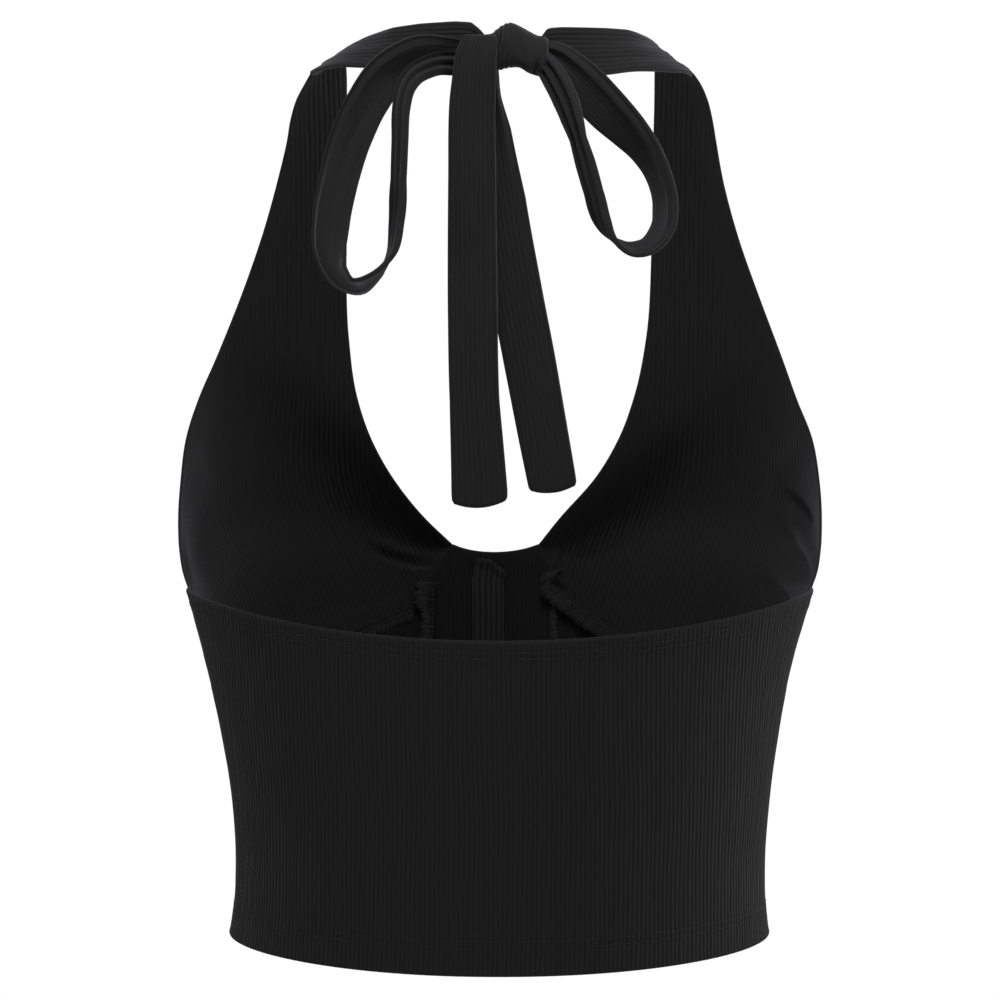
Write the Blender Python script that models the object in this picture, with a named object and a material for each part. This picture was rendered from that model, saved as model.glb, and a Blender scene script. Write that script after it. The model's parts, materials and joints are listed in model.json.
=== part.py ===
"""Halter neck top in rib knit: low back, gathered cups cut in one with the straps, ties in a bow.

Sizes are in millimetres and become metres when a mesh is made. +Z is up, the wearer faces -Y,
and +X is the wearer's left. The origin is the middle of the neck, level with the nape band.
"""

import math

import bmesh
import bpy
import numpy as np

MM = 0.001                     # one millimetre, in metres

# ------------------------------------------------------------------ driving sizes
CLOTH = 1.8                    # wall of the body cloth, seams and turned edges pressed flat
TIE_CLOTH = 2.4                # wall of a tie, a tube of cloth pressed flat
SEAM_GAP = 0.3                 # clear space between two pieces at a seam
FOLD_GAP = 0.42                # how far a wall stops short of a seam that folds sharply

HEM_HEIGHT = -399.1            # hem at the side seams
HEM_DIP = 4.5                  # how much lower it hangs at the middle of front and back
UNDERARM_HEIGHT = -244.0       # top of the side seam, where the armhole begins
BACK_DIP = 14.0                # how far the back's top edge drops in the middle
SIDE_SEAM_DEPTH = 4.0          # the side seams lie just behind the middle of the body
ROUNDNESS = 2.08               # exponent of the body's oval section, 2 is an ellipse

CUP_SEAM_HEIGHT = -285.0       # under-bust seam at the side
JUNCTION_HEIGHT = -252.0       # where the under-bust seam meets the centre panel
CUP_SEAM_STEEPNESS = 4.6       # how fast that seam falls away from the centre panel
CUP_SEAM_SAG = 4.0             # dip of that seam below the bust

NECK_CORNER_HEIGHT = -235.4    # where the cup's neckline edge meets the centre panel
NECK_DIP = 3.8                 # dip of the neckline between the two corners

SHOULDER_NORMAL = (0.465, -0.230, 0.854)   # way the cloth faces at the left shoulder seam
TIE_WIDTH = 21.5

GATHER_DEPTH = 0.9             # gathers of the cup where it meets the centre panel
GATHER_COUNT = 2
GATHER_REACH = 0.075           # share of the cup's width where they are deepest
GATHER_RISE = 1.6              # they die out at this multiple of the corner's height

BLACK_KNIT = (0.013, 0.013, 0.014, 1.0)
KNIT_ROUGHNESS = 0.85
SHARP_ANGLE = 50.0             # degrees; rims are crisper than this, folds are softer

# The body's oval sections. Depths are measured from the middle to the back and to the front,
# and lean is how far a section sits to the wearer's left.
TORSO_COLUMNS = ("height", "half_width", "back_depth", "front_depth", "lean")
TORSO = (
    (-403.6, 121.4, 88.0, 90.0, 0.4),
    (-388.0, 119.4, 87.0, 90.2, 0.1),
    (-372.0, 118.8, 86.5, 90.5, -0.1),
    (-340.0, 120.4, 86.0, 92.5, -0.4),
    (-310.0, 124.6, 87.0, 96.0, 0.0),
    (-280.0, 130.5, 89.5, 101.0, 0.5),
    (-244.0, 139.6, 92.5, 105.3, 0.1),
    (-232.0, 142.0, 93.0, 106.0, 0.0),
)

# The centre panel's seams: distance from the panel's middle, and how far that middle leans
# to the wearer's left.
CENTRE_COLUMNS = ("height", "half_width", "lean")
CENTRE = (
    (-403.6, 37.0, 1.0),
    (-300.0, 31.5, 4.5),
    (-252.0, 29.0, 5.0),
    (-235.4, 20.2, 2.0),
)

# Neckline edge of a cup and its strap, from the centre panel to the shoulder.
NECKLINE_COLUMNS = ("height", "across", "depth", "lean")
NECKLINE = (
    (-235.4, 20.2, -104.5, 2.0),
    (-223.0, 31.9, -107.5, 3.6),
    (-204.0, 47.9, -108.0, 2.8),
    (-185.0, 58.6, -105.0, 2.4),
    (-166.0, 65.1, -100.0, 2.1),
    (-137.0, 69.8, -90.0, 1.2),
    (-94.0, 71.0, -70.0, 0.5),
    (-47.0, 70.3, -41.0, 0.0),
    (-24.0, 69.9, -21.0, 0.0),
    (-11.5, 69.5, 0.0, 0.0),
)

# Armhole edge of a cup and its strap, from the underarm to the shoulder.
ARMHOLE_COLUMNS = ("height", "across", "depth", "lean")
ARMHOLE = (
    (-244.0, 139.6, 4.0, 0.1),
    (-238.0, 143.0, -9.0, 0.0),
    (-230.0, 145.4, -23.0, 0.0),
    (-217.0, 147.0, -39.0, 0.0),
    (-199.5, 146.8, -55.0, 0.0),
    (-182.0, 144.8, -69.0, 0.4),
    (-164.5, 138.9, -79.0, 1.1),
    (-146.0, 131.7, -85.0, 0.4),
    (-117.5, 120.4, -81.0, 0.0),
    (-89.0, 109.7, -66.0, 0.0),
    (-61.0, 101.1, -46.0, -0.2),
    (-43.0, 96.7, -30.0, -0.7),
    (-33.5, 94.8, -19.0, -0.8),
    (-22.0, 90.0, 0.0, -1.2),
)

# Sections of a cup. Turns are the headings, in degrees, at which the cloth leaves its neckline
# edge (towards the front) and reaches its armhole edge (towards the back). Reaches are the
# lengths over which it holds them. Drop is how far the section hangs below its two ends.
CUP_COLUMNS = ("neck_height", "arm_height", "neck_turn", "neck_reach",
               "arm_turn", "arm_reach", "drop")
CUP = (
    (-244.0, -265.0, 32.0, 52.0, 90.0, 78.0, 8.0),
    (-235.4, -244.0, 44.0, 66.0, 90.0, 92.0, 5.0),
    (-221.0, -224.0, 46.0, 64.0, 88.0, 80.0, 2.0),
    (-200.0, -196.0, 40.0, 50.0, 78.0, 60.0, 0.0),
    (-178.0, -170.0, 28.0, 36.0, 64.0, 42.0, 0.0),
    (-150.0, -143.0, 16.0, 24.0, 42.0, 26.0, 0.0),
    (-115.0, -108.0, 10.0, 16.0, 24.0, 17.0, 0.0),
    (-80.0, -77.0, 6.0, 11.0, 12.0, 12.0, 0.0),
    (-48.0, -50.0, 4.0, 8.0, 6.0, 8.0, 0.0),
    (-24.0, -34.0, 2.0, 7.0, 4.0, 7.0, 0.0),
    (-11.5, -22.0, 0.0, 6.0, 0.0, 6.0, 0.0),
)

# A tie from the shoulder seam round to the knot. Azimuth runs from the side of the neck (0)
# to the nape (90), and tilt turns the tie from upright (0) to lying outward (90).
TIE_COLUMNS = ("azimuth", "radius", "foot", "tilt", "width")
TIE_LEFT = (
    (0.0, 69.5, -11.5, 118.5, 22.4),
    (10.0, 67.0, -11.2, 112.0, 23.0),
    (20.0, 65.0, -11.0, 103.0, 22.2),
    (30.0, 63.8, -11.0, 85.0, 21.4),
    (40.0, 64.4, -11.2, 60.0, 21.4),
    (50.0, 65.0, -11.2, 34.0, 21.2),
    (60.0, 64.0, -11.0, 15.0, 21.0),
    (72.0, 63.2, -11.0, 3.0, 21.0),
    (78.5, 62.8, -10.8, 1.0, 20.6),
    (81.7, 62.5, -9.8, 0.0, 17.4),
)
TIE_RIGHT = (
    (0.0, 69.5, -11.5, 115.8, 23.6),
    (14.0, 66.6, -11.9, 99.0, 21.4),
    (28.0, 66.2, -12.4, 70.0, 21.4),
    (36.0, 68.2, -13.0, 50.0, 21.9),
    (50.0, 71.0, -13.9, 14.0, 21.8),
    (60.0, 69.6, -13.9, 4.0, 21.5),
    (68.5, 67.2, -13.6, 1.0, 21.3),
    (72.3, 66.4, -13.2, 0.0, 20.8),
)

# The knot, in rings from the wearer's left to right: where its cloth reaches up and down.
KNOT_COLUMNS = ("across", "top", "bottom", "swell")
KNOT = (
    (8.6, 4.0, -9.6, 0.80),
    (5.5, 5.6, -10.8, 0.95),
    (1.3, 7.2, -11.8, 1.00),
    (-5.2, 9.7, -11.6, 1.04),
    (-11.6, 7.6, -12.6, 1.04),
    (-16.5, 4.8, -13.8, 0.95),
    (-19.4, 2.9, -14.2, 0.82),
)
KNOT_DEPTH = 70.0              # middle of the knot behind the neck
KNOT_HALF_DEPTH = 8.6
KNOT_SQUARENESS = 2.6          # exponent of a ring, 2 is an ellipse

# Middle lines of the bow's ribbons. Turn rolls the ribbon about that line: 0 shows its face to
# someone standing behind the wearer, 90 shows its edge. Width is a share of TIE_WIDTH.
RIBBON_COLUMNS = ("across", "depth", "height", "turn", "width")
LOOP_LEFT = (
    (9.2, 70.0, -3.0, 6.0, 0.55),
    (13.0, 70.3, -3.0, 7.0, 0.62),
    (21.0, 71.0, -3.8, 8.0, 0.80),
    (34.0, 72.5, -6.0, 8.0, 0.98),
    (46.4, 73.5, -13.0, 12.0, 1.00),
    (57.3, 74.0, -25.9, 20.0, 0.96),
    (65.7, 74.5, -41.6, 27.0, 0.97),
    (70.9, 75.5, -58.6, 31.0, 1.00),
    (74.2, 77.0, -75.6, 37.0, 1.00),
    (74.0, 79.5, -89.5, 48.0, 1.00),
    (69.0, 83.0, -99.4, 60.0, 1.00),
    (61.2, 86.5, -102.8, 69.0, 1.00),
    (53.4, 89.0, -98.8, 79.0, 1.00),
    (46.8, 90.0, -88.4, 91.0, 1.00),
    (44.2, 90.0, -76.0, 101.0, 1.00),
    (43.8, 90.0, -58.0, 107.5, 1.00),
    (43.5, 89.5, -40.9, 108.5, 0.98),
    (41.7, 88.5, -27.4, 111.0, 0.90),
    (36.8, 85.0, -15.4, 130.0, 0.66),
    (29.0, 79.5, -9.0, 152.0, 0.50),
    (20.0, 76.2, -6.8, 172.0, 0.42),
    (13.0, 75.7, -6.4, 178.0, 0.36),
    (9.2, 75.6, -6.4, 180.0, 0.34),
)
LOOP_RIGHT = (
    (-20.6, 70.0, -5.0, -4.0, 0.62),
    (-24.0, 70.4, -5.8, -5.0, 0.70),
    (-30.0, 71.2, -11.0, -8.0, 0.84),
    (-37.9, 72.6, -19.4, -12.0, 0.96),
    (-47.4, 73.6, -29.3, -25.0, 1.00),
    (-55.0, 74.4, -36.9, -41.0, 1.00),
    (-61.8, 75.0, -44.9, -55.0, 1.00),
    (-67.9, 75.6, -55.8, -65.0, 1.00),
    (-71.0, 76.4, -67.4, -66.0, 1.00),
    (-70.0, 78.0, -79.0, -68.0, 1.00),
    (-64.4, 80.5, -86.2, -74.0, 1.00),
    (-56.0, 83.0, -87.8, -79.0, 1.00),
    (-48.5, 85.0, -83.2, -89.0, 1.00),
    (-43.8, 86.0, -74.4, -102.0, 1.00),
    (-40.4, 86.5, -63.4, -113.0, 1.00),
    (-36.8, 86.5, -51.0, -117.0, 0.98),
    (-33.4, 86.0, -40.4, -115.0, 0.84),
    (-30.0, 85.8, -32.4, -112.0, 0.74),
    (-26.4, 83.6, -23.2, -130.0, 0.74),
    (-24.6, 79.8, -15.6, -150.0, 0.58),
    (-22.8, 76.6, -11.8, -170.0, 0.40),
    (-20.2, 75.8, -11.0, -180.0, 0.28),
)
TAIL_LEFT = (
    (8.6, 79.7, 3.8, 0.0, 0.70),
    (9.8, 80.9, -2.0, 0.0, 0.76),
    (11.3, 81.4, -9.0, 0.0, 0.82),
    (12.1, 81.6, -22.0, 0.0, 0.88),
    (12.0, 82.0, -58.2, 0.0, 0.96),
    (11.8, 82.4, -109.9, 0.0, 1.00),
    (11.0, 82.0, -153.1, 0.0, 1.00),
    (9.8, 81.6, -174.8, 0.0, 1.07),
    (8.7, 81.4, -196.8, 0.0, 1.14),
    (8.6, 81.4, -199.8, 0.0, 0.96),
)
TAIL_RIGHT = (
    (4.6, 70.4, -12.3, -10.0, 0.40),
    (4.9, 71.2, -22.0, -14.0, 0.54),
    (3.4, 73.0, -37.0, -14.0, 0.80),
    (-0.4, 74.6, -67.0, -10.0, 1.02),
    (-6.2, 75.8, -101.6, -6.0, 1.05),
    (-12.8, 76.6, -136.2, -3.0, 1.05),
    (-19.2, 77.0, -170.9, 0.0, 1.01),
    (-22.8, 77.2, -190.6, 0.0, 0.98),
    (-23.2, 77.2, -193.2, 0.0, 0.86),
)

# The strip inside the centre front.
STRIP_WIDTH = 13.5
STRIP_TOP = -241.5
STRIP_BOTTOM = -330.0
STRIP_CLOTH = 1.6

# How finely each piece is divided.
BACK_CELLS = (11, 32)
CENTRE_CELLS = (11, 6)
SIDE_CELLS = (7, 14)
CENTRE_CROWDING = 1.15         # above 1, cells beside the centre panel are narrower
CUP_CELLS_BELOW_NECK = 9
CUP_CELLS_ABOVE_NECK = 20
TIE_CELLS = (12, 4)
LOOP_CELLS = (44, 4)
TAIL_CELLS = (16, 4)
STRIP_CELLS = (7, 2)
KNOT_POINTS = 16


# ------------------------------------------------------------------ curves and surfaces
def column(table, names, name):
    """One named column of a table."""
    return np.array([row[names.index(name)] for row in table])


def unit(vectors):
    """The same directions with a length of one."""
    return vectors / np.linalg.norm(vectors, axis=-1, keepdims=True)


def smooth(stations, values, at):
    """Smooth curve through values at rising stations, read at other stations."""
    stations = np.asarray(stations, dtype=float)
    values = np.asarray(values, dtype=float)
    at = np.asarray(at, dtype=float)
    slopes = np.gradient(values, stations, axis=0)
    left = np.clip(np.searchsorted(stations, at, side="right") - 1, 0, len(stations) - 2)
    span = stations[left + 1] - stations[left]
    share = (at - stations[left]) / span
    extra = (1,) * (values.ndim - 1)
    share = share.reshape(share.shape + extra)
    span = span.reshape(span.shape + extra)
    start = (1 + 2 * share) * (1 - share) ** 2 * values[left]
    start_slope = share * (1 - share) ** 2 * span * slopes[left]
    end = share ** 2 * (3 - 2 * share) * values[left + 1]
    end_slope = share ** 2 * (share - 1) * span * slopes[left + 1]
    return start + start_slope + end + end_slope


def at_height(table, names, name, height):
    """A column read smoothly at any height."""
    return smooth(column(table, names, "height"), column(table, names, name), height)


def torso_share(across, height):
    """How far a place lies across the body: 0 at the middle, 1 at the side."""
    half_width = at_height(TORSO, TORSO_COLUMNS, "half_width", height)
    lean = at_height(TORSO, TORSO_COLUMNS, "lean", height)
    return np.clip(np.abs(across - lean) / half_width, 0, 1)


def torso_front(across, height):
    """Depth of the front of the body at a place across it."""
    depth = at_height(TORSO, TORSO_COLUMNS, "front_depth", height) + SIDE_SEAM_DEPTH
    share = torso_share(across, height) ** ROUNDNESS
    return SIDE_SEAM_DEPTH - depth * (1 - share) ** (1 / ROUNDNESS)


def torso_angle(across, height):
    """Angle round the oval, from the centre line, of a place across the body."""
    return np.arcsin(torso_share(across, height) ** (ROUNDNESS / 2))


def oval(angle, height, depth_name):
    """Point of the body's oval at an angle from the centre line, to the front or the back."""
    half_width = at_height(TORSO, TORSO_COLUMNS, "half_width", height)
    lean = at_height(TORSO, TORSO_COLUMNS, "lean", height)
    facing = 1 if depth_name == "back_depth" else -1
    depth = at_height(TORSO, TORSO_COLUMNS, depth_name, height) - facing * SIDE_SEAM_DEPTH
    sine = np.sin(np.abs(angle))
    cosine = np.clip(np.cos(angle), 0, 1)
    across = lean + np.sign(angle) * half_width * sine ** (2 / ROUNDNESS)
    return np.stack((across, SIDE_SEAM_DEPTH + facing * depth * cosine ** (2 / ROUNDNESS), height), axis=-1)


def hem_height(angle):
    """Height of the hem at an angle from the centre line."""
    return HEM_HEIGHT - HEM_DIP * np.cos(angle) ** 2


def centre_seam(side, height):
    """Point of the centre panel's seam on one side."""
    heights = column(CENTRE, CENTRE_COLUMNS, "height")
    half_width = np.interp(height, heights, column(CENTRE, CENTRE_COLUMNS, "half_width"))
    lean = np.interp(height, heights, column(CENTRE, CENTRE_COLUMNS, "lean"))
    across = side * half_width + lean
    return np.stack((across, torso_front(across, height), height), axis=-1)


def cup_seam_height(share):
    """Height of the under-bust seam, from the centre panel (0) to the side seam (1)."""
    fall = (JUNCTION_HEIGHT - CUP_SEAM_HEIGHT) * (1 - share) ** CUP_SEAM_STEEPNESS
    return CUP_SEAM_HEIGHT + fall - CUP_SEAM_SAG * np.sin(math.pi * share)


def midriff_point(side, share, height):
    """Point of the midriff between the centre panel (share 0) and the side seam (share 1)."""
    start = torso_angle(centre_seam(side, height)[..., 0], height)
    angle = start + share * (math.pi / 2 - start)
    return oval(side * angle, height, "front_depth")


def neckline_point(side, height):
    """Point of a cup's inner edge: the centre panel's seam, and above it the neckline."""
    if height <= NECK_CORNER_HEIGHT:
        return centre_seam(side, np.array(height))
    across = at_height(NECKLINE, NECKLINE_COLUMNS, "across", height)
    lean = at_height(NECKLINE, NECKLINE_COLUMNS, "lean", height)
    depth = at_height(NECKLINE, NECKLINE_COLUMNS, "depth", height)
    return np.array((side * across + lean, depth, height))


def armhole_point(side, height):
    """Point of a cup's outer edge: the side seam, and above it the armhole."""
    if height <= UNDERARM_HEIGHT:
        return midriff_point(side, 1.0, np.array(height))
    across = at_height(ARMHOLE, ARMHOLE_COLUMNS, "across", height)
    depth = at_height(ARMHOLE, ARMHOLE_COLUMNS, "depth", height)
    lean = at_height(ARMHOLE, ARMHOLE_COLUMNS, "lean", height)
    return np.array((side * across + lean, depth, height))


def cup_section(side, row, shares):
    """One section of a cup, a curve with two handles from the neckline to the armhole."""
    named = dict(zip(CUP_COLUMNS, row))
    start = neckline_point(side, named["neck_height"])
    end = armhole_point(side, named["arm_height"])
    leave = math.radians(named["neck_turn"])
    reach = math.radians(named["arm_turn"])
    first = start + named["neck_reach"] * np.array((side * math.cos(leave), -math.sin(leave), 0))
    second = end - named["arm_reach"] * np.array((side * math.cos(reach), math.sin(reach), 0))
    first[2] += (end[2] - start[2]) / 3
    second[2] -= (end[2] - start[2]) / 3
    u = shares[:, None]
    points = (1 - u) ** 3 * start + 3 * u * (1 - u) ** 2 * first
    points = points + 3 * u ** 2 * (1 - u) * second + u ** 3 * end
    points[:, 2] -= named["drop"] * 4 * shares * (1 - shares)
    return points


def grid_normals(grid):
    """Unit normals of a grid of points, by differences along its rows and columns."""
    up = np.gradient(grid, axis=0, edge_order=2)
    across = np.gradient(grid, axis=1, edge_order=2)
    return unit(np.cross(across, up))


def draw_in(grid, edge, distance):
    """Move one edge of a grid in along the surface, square to that edge."""
    line = {"bottom": (0, slice(None)), "top": (-1, slice(None)),
            "first": (slice(None), 0), "last": (slice(None), -1)}[edge]
    inner = {"bottom": (1, slice(None)), "top": (-2, slice(None)),
             "first": (slice(None), 1), "last": (slice(None), -2)}[edge]
    along = unit(np.gradient(grid[line], axis=0))
    inward = grid[inner] - grid[line]
    inward = inward - along * np.sum(along * inward, axis=-1, keepdims=True)
    moved = grid.copy()
    moved[line] = grid[line] + distance * unit(inward)
    return moved


# ------------------------------------------------------------------ meshes
def make_material(name, colour, roughness):
    """Plain finish for one sub-part."""
    material = bpy.data.materials.new(name)
    material.use_nodes = True
    shader = material.node_tree.nodes["Principled BSDF"]
    shader.inputs["Base Color"].default_value = colour
    shader.inputs["Roughness"].default_value = roughness
    shader.inputs["Metallic"].default_value = 0.0
    material.diffuse_color = colour
    return material


def make_object(name, points, faces):
    """Closed object from points in millimetres and faces, with its own finish."""
    mesh = bpy.data.meshes.new(name)
    mesh.from_pydata([tuple(point * MM) for point in points], [], faces)
    shape = bmesh.new()
    shape.from_mesh(mesh)
    bmesh.ops.recalc_face_normals(shape, faces=shape.faces)
    shape.to_mesh(mesh)
    shape.free()
    mesh.shade_smooth()
    mesh.set_sharp_from_angle(angle=math.radians(SHARP_ANGLE))
    mesh.materials.append(make_material(name + "_knit", BLACK_KNIT, KNIT_ROUGHNESS))
    piece = bpy.data.objects.new(name, mesh)
    bpy.context.scene.collection.objects.link(piece)
    return piece


def make_wall(name, grid, thickness, normals=None):
    """Closed wall of cloth: the grid moved out and in along its normals, joined at the rims."""
    if normals is None:
        normals = grid_normals(grid)
    rows, columns = grid.shape[:2]
    outer = (grid + normals * thickness / 2).reshape(-1, 3)
    inner = (grid - normals * thickness / 2).reshape(-1, 3)
    back = rows * columns
    faces = []
    for row in range(rows - 1):
        for step in range(columns - 1):
            a = row * columns + step
            b = a + 1
            c = a + columns + 1
            d = a + columns
            faces.append((a, b, c, d))
            faces.append((back + d, back + c, back + b, back + a))
    rim = [step for step in range(columns)]
    rim += [row * columns + columns - 1 for row in range(1, rows)]
    rim += [(rows - 1) * columns + step for step in range(columns - 2, -1, -1)]
    rim += [row * columns for row in range(rows - 2, 0, -1)]
    for here, there in zip(rim, rim[1:] + rim[:1]):
        faces.append((there, here, back + here, back + there))
    return make_object(name, np.concatenate((outer, inner)), faces)


# ------------------------------------------------------------------ body panels
def back_grid(rows, columns):
    """Middle surface of the back, from hem to top edge and from right to left side seam."""
    shares = np.linspace(-1, 1, columns + 1)
    angles = shares * math.pi / 2
    top = UNDERARM_HEIGHT - BACK_DIP * np.cos(angles) ** 2
    hem = hem_height(angles)
    heights = hem + np.linspace(0, 1, rows + 1)[:, None] * (top - hem)
    return oval(np.broadcast_to(angles, heights.shape), heights, "back_depth")


def centre_grid(rows, columns):
    """Middle surface of the centre panel, from hem to neckline and from right to left seam."""
    shares = np.linspace(-1, 1, columns + 1)
    hem_half_width = at_height(CENTRE, CENTRE_COLUMNS, "half_width", HEM_HEIGHT)
    hem = hem_height(torso_angle(shares * hem_half_width, HEM_HEIGHT))
    below = hem + np.linspace(0, 1, rows - 1)[:, None] * (JUNCTION_HEIGHT - hem)
    top = NECK_CORNER_HEIGHT - NECK_DIP * (1 - shares ** 2)
    heights = np.concatenate((below, ((JUNCTION_HEIGHT + top) / 2, top)))
    left = centre_seam(1, heights)[..., 0]
    right = centre_seam(-1, heights)[..., 0]
    across = (left + right) / 2 + shares * (left - right) / 2
    return np.stack((across, torso_front(across, heights), heights), axis=-1)


def shares_across(columns):
    """Shares from the centre seam (0) to the side (1), closer together near the centre."""
    return np.linspace(0, 1, columns + 1) ** CENTRE_CROWDING


def midriff_grid(side, rows, columns):
    """Middle surface of a midriff panel, from hem to under-bust seam, centre to side seam."""
    shares = shares_across(columns)
    start = torso_angle(centre_seam(side, HEM_HEIGHT)[0], HEM_HEIGHT)
    hem = hem_height(start + shares * (math.pi / 2 - start))
    heights = hem + np.linspace(0, 1, rows + 1)[:, None] * (cup_seam_height(shares) - hem)
    return midriff_point(side, np.broadcast_to(shares, heights.shape), heights)


def cup_grid(side, rows_below, rows_above, columns):
    """Middle surface of a cup and its strap, from the under-bust seam to the shoulder."""
    shares = shares_across(columns)
    seam = midriff_point(side, shares, cup_seam_height(shares))
    sections = np.stack([seam] + [cup_section(side, row, shares) for row in CUP])
    middle = sections[:, columns // 2]
    steps = np.linalg.norm(np.diff(middle, axis=0), axis=1)
    stations = np.concatenate(((0,), np.cumsum(steps)))
    corner = stations[2]
    below = np.linspace(0, corner, rows_below + 1)
    above = np.linspace(corner, stations[-1], rows_above + 1)
    grid = smooth(stations, sections, np.concatenate((below, above[1:])))
    grid[:rows_below, 0, 2] = np.linspace(JUNCTION_HEIGHT, NECK_CORNER_HEIGHT, rows_below + 1)[:-1]
    grid[:rows_below, -1, 2] = np.linspace(CUP_SEAM_HEIGHT, UNDERARM_HEIGHT, rows_below + 1)[:-1]
    grid[:, 0] = [neckline_point(side, height) for height in grid[:, 0, 2]]
    grid[:, -1] = [armhole_point(side, height) for height in grid[:, -1, 2]]
    return grid + gathers(grid, side, rows_below, shares)


def gathers(grid, side, rows_below, shares):
    """Small folds that fan out from the seam between cup and centre panel."""
    rows = np.arange(grid.shape[0])[:, None] / rows_below
    fade_up = np.sqrt(np.clip(GATHER_RISE - rows, 0, 1)) * np.clip(rows * 4, 0, 1)
    waves = np.sin(2 * math.pi * GATHER_COUNT * rows) * fade_up
    spread = shares / GATHER_REACH * np.exp(1 - shares / GATHER_REACH)
    return (GATHER_DEPTH * waves * spread)[..., None] * grid_normals(grid)


def build_body():
    """Back, centre front, midriff and cups, with shared normals where seams fold."""
    half_gap = SEAM_GAP / 2
    back = back_grid(*BACK_CELLS)
    back = draw_in(draw_in(back, "first", half_gap), "last", half_gap)
    make_wall("back_panel", back, CLOTH)

    centre = centre_grid(*CENTRE_CELLS)
    centre_normals = grid_normals(centre)
    for side, word in ((1, "left"), (-1, "right")):
        midriff = midriff_grid(side, *SIDE_CELLS)
        cup = cup_grid(side, CUP_CELLS_BELOW_NECK, CUP_CELLS_ABOVE_NECK, SIDE_CELLS[1])
        midriff_normals = grid_normals(midriff) * side
        cup_normals = grid_normals(cup) * side

        fold = unit(midriff_normals[-1] + cup_normals[0])
        midriff_normals[-1] = fold
        cup_normals[0] = fold

        edge = -1 if side > 0 else 0
        below = CUP_CELLS_BELOW_NECK + 1
        for row in range(CENTRE_CELLS[0] - 2, CENTRE_CELLS[0] + 1):
            height = centre[row, edge, 2]
            met = [np.interp(height, cup[:below, 0, 2], cup_normals[:below, 0, axis]) for axis in range(3)]
            centre_normals[row, edge] = unit(centre_normals[row, edge] + unit(np.array(met)))
        own = -centre_front_normal(cup[:below, 0])
        cup_normals[:below, 0] = unit(cup_normals[:below, 0] + own)

        cup_normals[-1] = SHOULDER_NORMAL * np.array((side, 1, 1))

        midriff = draw_in(midriff, "top", FOLD_GAP)
        midriff = draw_in(midriff, "first", half_gap)
        midriff = draw_in(midriff, "last", half_gap)
        make_wall("front_side_panel_" + word, midriff, CLOTH, midriff_normals)

        cup = draw_in(cup, "bottom", FOLD_GAP)
        cup[:below] = draw_in(cup[:below], "first", FOLD_GAP)
        cup = draw_in(cup, "last", half_gap)
        cup = draw_in(cup, "top", half_gap)
        make_wall("cup_" + word, cup, CLOTH, cup_normals)

    centre = draw_in(draw_in(centre, "first", half_gap), "last", half_gap)
    make_wall("front_center_panel", centre, CLOTH, centre_normals)


def centre_front_normal(points):
    """Inward normals of the centre front at some points."""
    step = 0.5
    x = points[:, 0]
    z = points[:, 2]
    slope_across = (torso_front(x + step, z) - torso_front(x - step, z)) / (2 * step)
    slope_up = (torso_front(x, z + step) - torso_front(x, z - step)) / (2 * step)
    return unit(np.stack((-slope_across, np.ones(len(x)), -slope_up), axis=-1))


def build_strip():
    """Strip inside the centre front, on the panel's inner face."""
    rows, columns = STRIP_CELLS
    heights = np.repeat(np.linspace(STRIP_BOTTOM, STRIP_TOP, rows + 1)[:, None], columns + 1, axis=1)
    middle = (centre_seam(1, heights)[..., 0] + centre_seam(-1, heights)[..., 0]) / 2
    across = middle + np.linspace(-1, 1, columns + 1) * STRIP_WIDTH / 2
    depth = torso_front(across, heights)
    grid = np.stack((across, depth, heights), axis=-1)
    inward = centre_front_normal(grid.reshape(-1, 3)).reshape(grid.shape)
    grid = grid + inward * (CLOTH / 2 + SEAM_GAP + STRIP_CLOTH / 2)
    make_wall("center_strip", grid, STRIP_CLOTH)


# ------------------------------------------------------------------ ties and bow
def build_tie(name, side, table):
    """A tie from the shoulder seam round the neck, lying down at the shoulder, upright behind."""
    rows, columns = TIE_CELLS
    azimuths = column(table, TIE_COLUMNS, "azimuth")
    at = np.linspace(azimuths[0], azimuths[-1], rows + 1)
    radius, foot, tilt, width = [smooth(azimuths, column(table, TIE_COLUMNS, word), at)
                                 for word in ("radius", "foot", "tilt", "width")]
    round_neck = np.radians(at)
    outward = np.stack((side * np.cos(round_neck), np.sin(round_neck), np.zeros(rows + 1)), axis=-1)
    lean = np.radians(tilt)[:, None]
    rise = outward * np.sin(lean) + np.array((0, 0, 1)) * np.cos(lean)
    lower = outward * radius[:, None]
    lower[:, 2] = foot
    across = np.linspace(0, 1, columns + 1)[None, :, None]
    grid = lower[:, None] + across * (rise * width[:, None])[:, None]
    normals = grid_normals(grid) * side
    normals[0] = SHOULDER_NORMAL * np.array((side, 1, 1))
    grid = draw_in(grid, "bottom", SEAM_GAP / 2)
    make_wall(name, grid, TIE_CLOTH, normals)


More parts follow.
